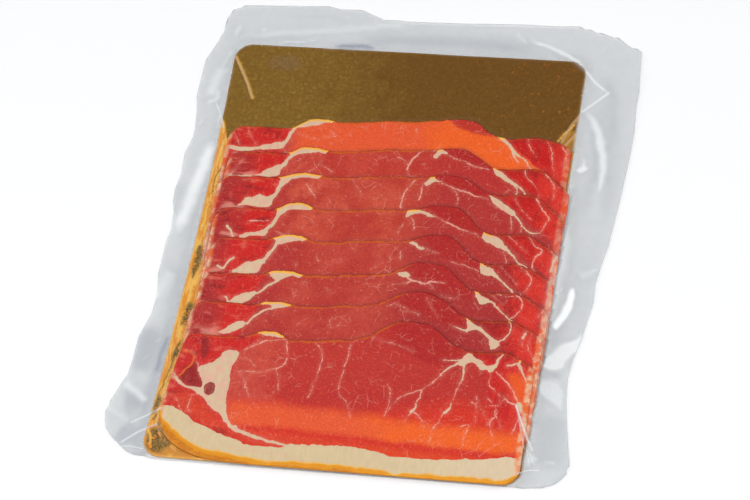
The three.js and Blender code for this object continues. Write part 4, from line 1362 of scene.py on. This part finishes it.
def make_board():
    """The gold board, a rounded plate with slight ripples in its foil."""
    x, y, left, reach = board_grid()
    rim = np.minimum(np.minimum(x - left, reach - x), BOARD_L / 2 - np.abs(y))
    masks = foil_masks(x, y, rim)
    ripple = 0.03 * rough_noise(x, y, 7, 200) + 0.05 * masks["lit"] * noise(x, y / 6, 1.4, 201)
    ripple = ripple + 0.12 * masks["lower"] * (rough_noise(x, y, 3.5, 202) - 0.5)
    z = BOARD_TOP - rounded_drop(rim, BOARD_RIM) + ripple * smooth(0, 3, rim) - FACE_SUNK
    ux = left + (reach - left) * np.linspace(0, 1, BACK_COLUMNS)[None, :]
    under = np.stack([ux, np.broadcast_to(y[:, :1], ux.shape), np.full(ux.shape, BOARD_LOW)], -1)
    obj = closed_sheet("gold_board_foil", np.stack([x, y, z], -1), under, masks)
    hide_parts("gold_board")
    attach(obj, "root")
    obj.data.materials.append(gold_material())
    return obj


# ---------------------------------------------------------------- film

FILM_COLUMNS, FILM_ROWS = 262, 313
UNDER_STEP = 3  # the film under the pack takes every third column and row
FILM_LOW = 0.3  # height of the film under the board
FILM_GAP = 0.25  # between the lower and upper film of the flange
FREE_LOW = 0.5  # the least height of the free film's upper side
FLANGE_Z = 1.5  # the height at which the marks of the free film are placed
CLING = 0.16  # the film lies this far over the contents
SAG, CLING_SAG = 0.1, 0.3  # how fast the film falls away, off the contents and over them
RELAX_STEPS, SMOOTH_STEPS = 200, 26
TUCK = 3  # the film is drawn tight under the rind edge over this depth
TUCK_HALF = (86, 80)  # and over this half width
# Folds that catch the light, raised and with a painted highlight, on the reading plane: brightness, height,
# start and end width, path.
LEFT_FOLDS = [
    (0.7, 0.5, 6, 7, [(-84.5, 62), (-87, 42), (-89.5, 20), (-92, 4), (-95, -3)]),
    (0.45, 0.5, 8, 8, [(-90, -17), (-94.5, -36)]),
    (0.5, 0.8, 4.5, 4, [(-101, -78.5), (-94, -83), (-85.5, -90)]),
    (0.4, 0.6, 3.4, 2.5, [(-107, -90), (-99, -96), (-91, -99.5)]),
    (0.3, 0.3, 1, 1, [(-90, -57.4), (-87.6, -54.4)]), (0.2, 0.3, 1, 1, [(-94, -68), (-91, -64)]),
    (0.45, 0.5, 3, 2, [(-89, 86), (-88.5, 80), (-93, 76.5)]), (0.35, 0.5, 2, 2, [(-92, 68), (-95, 63)]),
    (0.4, 0.5, 2, 1.5, [(-84.6, 112), (-88.5, 104), (-90, 95)]),
    (0.5, 0.5, 7, 6, [(-88, 101), (-91, 88), (-91.5, 78)]),
]
TOP_FOLDS = [
    (0.4, 0.7, 4, 5, [(-91, 110), (-85, 116.5), (-75, 118.3), (-62, 121), (-48, 122.7), (-30, 125.5),
     (-8, 128.5), (12, 130)]),
    (0.5, 0.5, 1.6, 0.5, [(-66, 114.6), (-56, 115.6), (-45, 117.6)]),
    (0.45, 0.6, 3, 2.4, [(-84.6, 125), (-87, 117)]), (0.4, 0.5, 2.4, 2, [(-73, 124), (-73.6, 119.5)]),
    (0.2, 0.5, 3, 4, [(-66, 133), (-40, 133.5), (-25, 131)]),
    (0.7, 0.6, 1.8, 2.2, [(54, 124.5), (64, 121.5), (69.4, 119.3), (74.7, 116.4), (80.7, 112), (86, 106)]),
    (0.45, 0.5, 2, 2, [(49, 128.5), (52, 124.5), (56, 121)]),
    (0.3, 1, 5, 6, [(99.3, 50), (99.2, 40), (98.6, 26)]),
]
RIGHT_FOLDS = [
    (0.5, 0.2, 6, 6, [(89, 24), (88.5, 0), (87.5, -20), (86, -40)]),
    (0.35, 1.0, 7, 9, [(98.6, 48), (99.6, 36), (99.6, 20)]), (0.3, 0.5, 2, 2, [(88, 44), (86.3, 33)]),
    (0.3, 0.5, 2.5, 2, [(91, 30), (89, 12), (87.6, -4)]),
    (0.35, 0.5, 1.2, 1.2, [(86, 15), (85.6, 3), (84, -12), (83, -25)]),
    (0.5, 0.5, 1.2, 1, [(92, -10), (87, -24), (84.6, -34)]),
    (0.4, 0.5, 2.5, 6, [(106, -2), (101, -5), (96, -8)]),
    (0.4, 0.5, 2.5, 2.5, [(93, -103.6), (100, -102.6)]), (0.45, 0.4, 2, 1.6, [(84.4, -81.5), (86.6, -84)]),
]
FOLDS = LEFT_FOLDS + TOP_FOLDS + RIGHT_FOLDS
# Patches of painted shine: brightness, softness and outline.
SHEENS = [
    (0.6, 3, [(89.1, 84.1), (94.4, 79.3), (98.7, 69.8), (100.9, 60.4), (101.9, 50.9), (101.2, 39.6),
     (99.2, 39.5), (97.9, 51.7), (95.7, 62.8), (92.7, 74), (89.8, 80.1)]),
    (0.65, 1.5, [(90.3, 58.3), (91.7, 54.2), (93.2, 52.4), (90.2, 49.3), (88, 50.6), (89.9, 53.7)]),
    (1.0, 1.6, [(94.9, -13), (96.2, -17), (95.7, -22), (93.6, -29.5), (90.7, -36.1), (88.9, -34.5),
     (91.3, -26.2), (92.5, -19.3), (93.6, -14.5)]),
    (0.65, 2.5, [(107, -32), (99.7, -39.4), (92.9, -43.8), (86.4, -56.2), (95.6, -56), (97.5, -51),
     (103, -44)]),
    (0.5, 2.5, [(87.4, -62.8), (96, -62.7), (98.4, -75.5), (94.3, -74.1), (87.2, -69.5)]),
    (0.4, 2, [(86, -99), (91.4, -101.6), (89, -104), (86.4, -107), (84.4, -104)]),
    (0.25, 2.5, [(-91, -99), (-85.6, -97), (-87, -103)]),
    (0.3, 2, [(-88.2, 84.5), (-87.4, 80.4), (-92.5, 76.4), (-90.4, 80)]),
]
# Crisp folds, as painted white highlights: strength, width, path on the reading plane.
CREASES = [
    (0.5, 1.4, [(85.6, 107), (90, 101.5), (94.9, 97.2)]), (0.4, 0.8, [(94.9, 97.2), (97.2, 95.5)]),
    (0.5, 1.3, [(97.2, 95.5), (92.2, 90), (86.6, 84.2)]),
    (0.4, 0.7, [(-88, 77), (-84.6, 71), (-81.6, 63)]), (0.4, 0.6, [(-84.6, 71), (-84.8, 65)]),
    (0.35, 1.0, [(-91.5, -99.6), (-85.5, -95.5), (-79.5, -91)]),
    (0.35, 1.0, [(-94, -110), (-88, -104.5), (-83.5, -101.6), (-80, -99.5)]),
    (0.4, 0.6, [(-96, -112.6), (-90, -111.6), (-84, -112.4)]),
    (0.5, 1.0, [(78, -76), (81, -83), (84.6, -91), (88, -97.6)]),
    (0.35, 0.6, [(79.4, -80), (82, -89), (84.4, -97)]),
    (0.5, 0.6, [(83, -109.8), (88, -107.6), (92.5, -107.3)]), (0.35, 0.5, [(86, -98.4), (88, -106)]),
    (0.35, 0.5, [(87, -99), (90, -105)]),
]
# Dim places, with painted shade: strength, start and end width, path.
DIMS = [
    (0.9, 3, 3, [(-84.6, -50), (-85.6, -64), (-86.6, -76)]),
    (0.4, 1.2, 1.2, [(92, 76), (94.7, 62), (96.5, 50), (97.4, 36)]),
    (0.5, 1.6, 1.6, [(86.4, -59.4), (92, -59.2), (97, -58.4)]),
    (1.0, 2.8, 2.2, [(-39, 114.2), (-25, 115.2), (-15, 114.2)]),
    (0.4, 6, 8, [(-35, 118), (-10, 120), (30, 121), (70, 117)]),
    (0.3, 1.6, 1.6, [(-83.6, 60), (-85.8, 20), (-87, -10)]), (0.2, 6, 8, [(-97, 32), (-99, 12)]),
    (0.1, 6, 5, [(-91, -8), (-95, -14)]), (0.3, 7, 7, [(92, -36), (86, -47)]),
    (0.3, 5, 6, [(90, 108), (98, 97), (101, 80), (103, 60)]),
    (0.5, 14, 16, [(-93, -46), (-94, -62), (-95, -76)]), (0.5, 12, 14, [(-88, -88), (-98, -90)]),
    (0.5, 14, 14, [(-97, -103), (-88, -108)]), (0.3, 14, 14, [(95, -76), (95, -92), (96, -108)]),
    (0.1, 12, 10, [(-88, -10), (-91, -30)]), (0.2, 10, 14, [(92, 100), (100, 60), (96, 20)]),
    (0.1, 10, 10, [(102, 20), (98, -10), (95, -50)]),
]
# Small bubbles, each a raised ring with painted shade on it.
BUBBLES = [(89.4, -68.2), (92.2, -67.2)]
BUBBLE_R = 1.1

# The pouch's outer edge on the reading plane, once round: right side, top, left side, bottom.
POUCH_EDGE = [
    (81, -116), (85.5, -116.4), (95, -115.5), (100, -113.4), (102, -111.4), (104.3, -108), (104.1, -106),
    (105.1, -104), (105, -102), (103.7, -96), (101.5, -84), (99.5, -71), (98.7, -60), (99.8, -50),
    (102, -40), (103.5, -30), (105, -20), (104.6, -10), (106, 0), (107.8, 10), (110, 36), (111.5, 58),
    (112, 74), (111.2, 88), (111.5, 97), (110.8, 106), (110, 120), (107.7, 121.8), (105.3, 121.9),
    (102.7, 123.6), (98.1, 127.5), (95.7, 127.6), (90, 129.9), (87, 130.1), (84.8, 131.7), (81.5, 131.6),
    (79.5, 133.2), (60, 132.7), (-4, 131.2), (-15.7, 131.6), (-25, 136), (-27.5, 136.8), (-38, 136.7),
    (-44, 138.4), (-85, 136.2), (-87, 134.8), (-90.6, 133), (-92.6, 126.3), (-92, 121.6), (-94.8, 112.3),
    (-98, 102), (-98.2, 80), (-96.6, 72), (-95.2, 61), (-95.2, 56), (-97.1, 47), (-96.4, 35), (-97.6, 26),
    (-97.2, 20), (-95.4, 12.7), (-94.5, 3.4), (-95.6, -3), (-95.8, -20.7), (-94, -31.5), (-94.4, -42.4),
    (-97.7, -55), (-97.8, -66), (-98.4, -75), (-100.2, -80.4), (-102.5, -86.8), (-103.6, -89.8),
    (-103.3, -92.4), (-104.5, -95), (-103.8, -99.6), (-102.7, -103.3), (-99.8, -107), (-95.6, -110.5),
    (-91.4, -114), (-87.7, -115.4), (-83, -115.6), (-79, -116.8),
]
HALF_GRID = (106, 125)  # the grid that is stretched to the outline
RIM_Z = 1.2  # height of most of the edge
RIM_SAMPLES = 12  # along each of its stretches


def pouch_rim():
    """The pouch's outer edge as angle and radius, sorted by angle."""
    corners = on_level(POUCH_EDGE, RIM_Z)
    t = np.linspace(0, 1, RIM_SAMPLES, endpoint=False)[:, None]
    p = np.concatenate([a + (b - a) * t for a, b in zip(corners, np.roll(corners, -1, 0))])
    angle, radius = np.arctan2(p[:, 1], p[:, 0]), np.hypot(p[:, 0], p[:, 1])
    order = np.argsort(angle)
    return angle[order], radius[order]


def film_grid(columns, rows):
    """Points spread over the pouch, even near its middle and taking up its outline towards the rim."""
    a, r = pouch_rim()
    u = np.linspace(-1, 1, columns)[:, None]
    v = np.linspace(-1, 1, rows)[None, :]
    u, v = np.broadcast_arrays(u, v)
    # How far the pouch reaches through each point of a rectangle's rim.
    size = np.maximum(np.abs(u), np.abs(v)) + 1e-9
    x0, y0 = HALF_GRID[0] * u / size, HALF_GRID[1] * v / size
    round_three = np.concatenate([a - 2 * math.pi, a, a + 2 * math.pi])
    reach = np.interp(np.arctan2(y0, x0), round_three, np.tile(r, 3))
    scale = reach / np.hypot(x0, y0)
    t = smooth(0.5, 1.0, size)
    s = 0.95 * (1 - t) + scale * t
    return u * HALF_GRID[0] * s, v * HALF_GRID[1] * s


def draw_in(y):
    """How far the board's left edge lies inside its corners."""
    return BOARD_DRAW_IN * (1 - np.minimum(1, np.abs(y) / (BOARD_L / 2 - BOARD_R)) ** 2)


def contents_top(x, y):
    """Height of what lies under the film, and 0 outside it."""
    z = np.zeros(x.shape)
    z[past_board(x, y) < 0] = BOARD_TOP
    for k in range(len(MARKS)):
        lower, upper = edges_at(outline_of(k), x, k)
        xs = SLICE_POINTS[k][:, 0]
        on = (x > xs.min()) & (x < xs.max()) & (y > lower) & (y < upper)
        z = np.where(on, np.maximum(z, base_z(k, y) + SLICE_T), z)
    return z


def past_board(x, y):
    """How far a place lies outside the board's edge, and less than 0 on the board."""
    half = np.where(x < 0, BOARD_W / 2 - draw_in(y), BOARD_W / 2)
    dx, dy = np.abs(x) - half + BOARD_R, np.abs(y) - BOARD_L / 2 + BOARD_R
    return np.hypot(np.maximum(dx, 0), np.maximum(dy, 0)) + np.minimum(np.maximum(dx, dy), 0) - BOARD_R


def flange_lift(x, y):
    """Soft waves of the free film: across it and along it."""
    out = np.clip(past_board(x, y), 0, 40)
    radial = noise(x, y / 3, 11, 300) * smooth(-20, 0, np.abs(y) - BOARD_L / 2)
    radial = radial + noise(x / 3, y, 11, 302) * smooth(-20, 0, np.abs(x) - BOARD_W / 2)
    waves = 0.8 + 0.5 * noise(x, y, 24, 303) + 0.25 * radial + 0.07 * noise(x, y, 5, 301)
    return 0.5 * (waves + np.sqrt(waves**2 + 0.2)) * smooth(1, 14, out)


def film_marks(x, y, z):
    """Where the film is milky with painted highlights, where it has painted shade, and how high its folds
    stand.
    """
    rx, ry = as_read(x, y, z)
    rx, ry = rx + 0.5 * noise(rx, ry, 4, 310), ry + 0.5 * noise(rx, ry, 4, 311)
    milk_and_sheen, dim, fold = np.zeros(x.shape), np.zeros(x.shape), np.zeros(x.shape)
    for strength, height, start, end, path in FOLDS:
        streak(milk_and_sheen, rx, ry, path, start, end, strength)
        streak(fold, rx, ry, path, start + 0.8, end + 0.8, 0.7 * height)
    for strength, soft, outline in SHEENS:
        patch(milk_and_sheen, rx, ry, outline, strength, soft)
    for strength, start, end, path in DIMS:
        streak(dim, rx, ry, path, start, end, strength)
    for bx, by in BUBBLES:
        ring = bell(np.hypot(rx - bx, ry - by), BUBBLE_R, 0.5)
        dim, fold = np.maximum(dim, 0.35 * ring), fold + 0.3 * ring
    return milk_and_sheen, dim, fold


def spread(z, pick):
    """Each height replaced by the picked one of itself and its neighbours."""
    z[1:-1] = pick.reduce([z[1:-1], z[2:], z[:-2]])
    z[:, 1:-1] = pick.reduce([z[:, 1:-1], z[:, 2:], z[:, :-2]])


def neighbours_mean(z):
    """The mean of the four neighbours of each inner height."""
    return (z[2:, 1:-1] + z[:-2, 1:-1] + z[1:-1, 2:] + z[1:-1, :-2]) / 4


def settled(floor, sag, out):
    """The height of a film that is drawn down on the floor under it, and smooth off the contents."""
    z = floor.copy()
    for _ in range(RELAX_STEPS):
        mean = z.copy()
        mean[1:-1, 1:-1] = neighbours_mean(z)
        z = np.maximum(floor, mean - sag)
        z[0], z[-1], z[:, 0], z[:, -1] = floor[0], floor[-1], floor[:, 0], floor[:, -1]
    for _ in range(SMOOTH_STEPS):
        z[1:-1, 1:-1] = np.where(out[1:-1, 1:-1] > 1, neighbours_mean(z), z[1:-1, 1:-1])
    return z


def under_film(z, out):
    """The height of the film under the pack: flat under the board, close below the upper film outside."""
    low = z.copy()
    for _ in range(UNDER_STEP):
        spread(low, np.minimum)
    low = (FILM_LOW + low - FILM_GAP + np.sqrt((low - FILM_GAP - FILM_LOW) ** 2 + 0.02)) / 2
    return np.where(out < 0.5, FILM_LOW, low)


def film_masks(x, y, out, contents, milk_and_sheen, dim):
    """The film's masks: where it lies free, is milky with painted highlights, has painted shade, and hangs
    beside the contents with painted shade.
    """
    turned = smooth(TUCK - BOARD_L / 2, -BOARD_L / 2, y) * smooth(*TUCK_HALF, np.abs(x))
    free = smooth(-0.4, 0.1, out) * (1 - turned) * (contents < BOARD_TOP + 0.5)
    hanging = smooth(-1, 1, out) * smooth(8, 3, out)
    hanging = hanging * (0.2 + 0.5 * smooth(60, -60, x) * smooth(40, -60, y))
    return {"free": free, "milk_and_sheen": milk_and_sheen * (1 - turned), "dim": dim, "drape_and_shade": np.maximum(hanging, turned)}


def make_film():
    """The pouch, one closed film that lies over the contents and under the board."""
    x, y = film_grid(FILM_COLUMNS, FILM_ROWS)
    contents = contents_top(x, y)
    spread(contents, np.maximum)
    outside = contents == 0
    out = past_board(x, y)
    milk_and_sheen, dim, fold = film_marks(x, y, np.where(outside, FLANGE_Z, contents))
    free_z = FREE_LOW + flange_lift(x, y) + fold
    floor = np.where(outside, free_z, contents + CLING + 0.5 * fold)
    z = settled(floor, np.where(outside, SAG, CLING_SAG), out)
    under = np.stack([x, y, under_film(z, out)], -1)[::UNDER_STEP, ::UNDER_STEP]
    masks = film_masks(x, y, out, contents, milk_and_sheen, dim)
    obj = closed_sheet("pouch_film", np.stack([x, y, z], -1), under, masks)
    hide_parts("film_pouch")
    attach(obj, "root")
    obj.data.materials.append(film_material())
    return obj


# ---------------------------------------------------------------- floor and light

FLOOR_HALF = 3000
ROOM_COLOUR = (0.9, 0.95, 1, 1)
ROOM_STRENGTH = 0.2
LIGHTS = [  # name, place and size in metres, power
    ("overhead", (0.1, -0.5, 1.5), (1.2, 1.2), 20),
    ("left", (-1.2, 0.2, 0.9), (0.8, 1.4), 8),
    ("right", (1.2, 0.6, 0.8), (0.6, 1.2), 6),
]


def make_floor():
    """A wide pale floor."""
    corners = [(FLOOR_HALF * x, FLOOR_HALF * y, 0) for x, y in ((-1, -1), (1, -1), (1, 1), (-1, 1))]
    floor = make_object("floor", corners, [(0, 1, 2, 3)], shade=False)
    t = Tree("floor")
    inputs = {"Base Color": (0.9, 0.9, 0.9), "Roughness": 0.8}
    floor.data.materials.append(t.finish(t.add("ShaderNodeBsdfPrincipled", inputs).outputs[0]))


def area_light(name, place, size, power):
    """A soft light that faces the pack."""
    data = bpy.data.lights.new(name, "AREA")
    data.shape, data.size, data.size_y = "RECTANGLE", size[0], size[1]
    data.energy = power
    light = bpy.data.objects.new(name, data)
    turn = (-Vector(place)).to_track_quat("-Z", "Y").to_matrix().to_4x4()
    light.matrix_world = Matrix.Translation(place) @ turn
    bpy.context.scene.collection.objects.link(light)


def make_light():
    """A dim pale room with three soft lights."""
    world = bpy.data.worlds.new("room")
    world.use_nodes = True
    background = world.node_tree.nodes["Background"]
    background.inputs["Color"].default_value = ROOM_COLOUR
    background.inputs["Strength"].default_value = ROOM_STRENGTH
    bpy.context.scene.world = world
    for light in LIGHTS:
        area_light(*light)
    bpy.context.scene.view_settings.view_transform = "Standard"


make_camera()
make_floor()
make_light()
make_board()
for number in range(len(MARKS)):
    make_slice(number)
make_film()
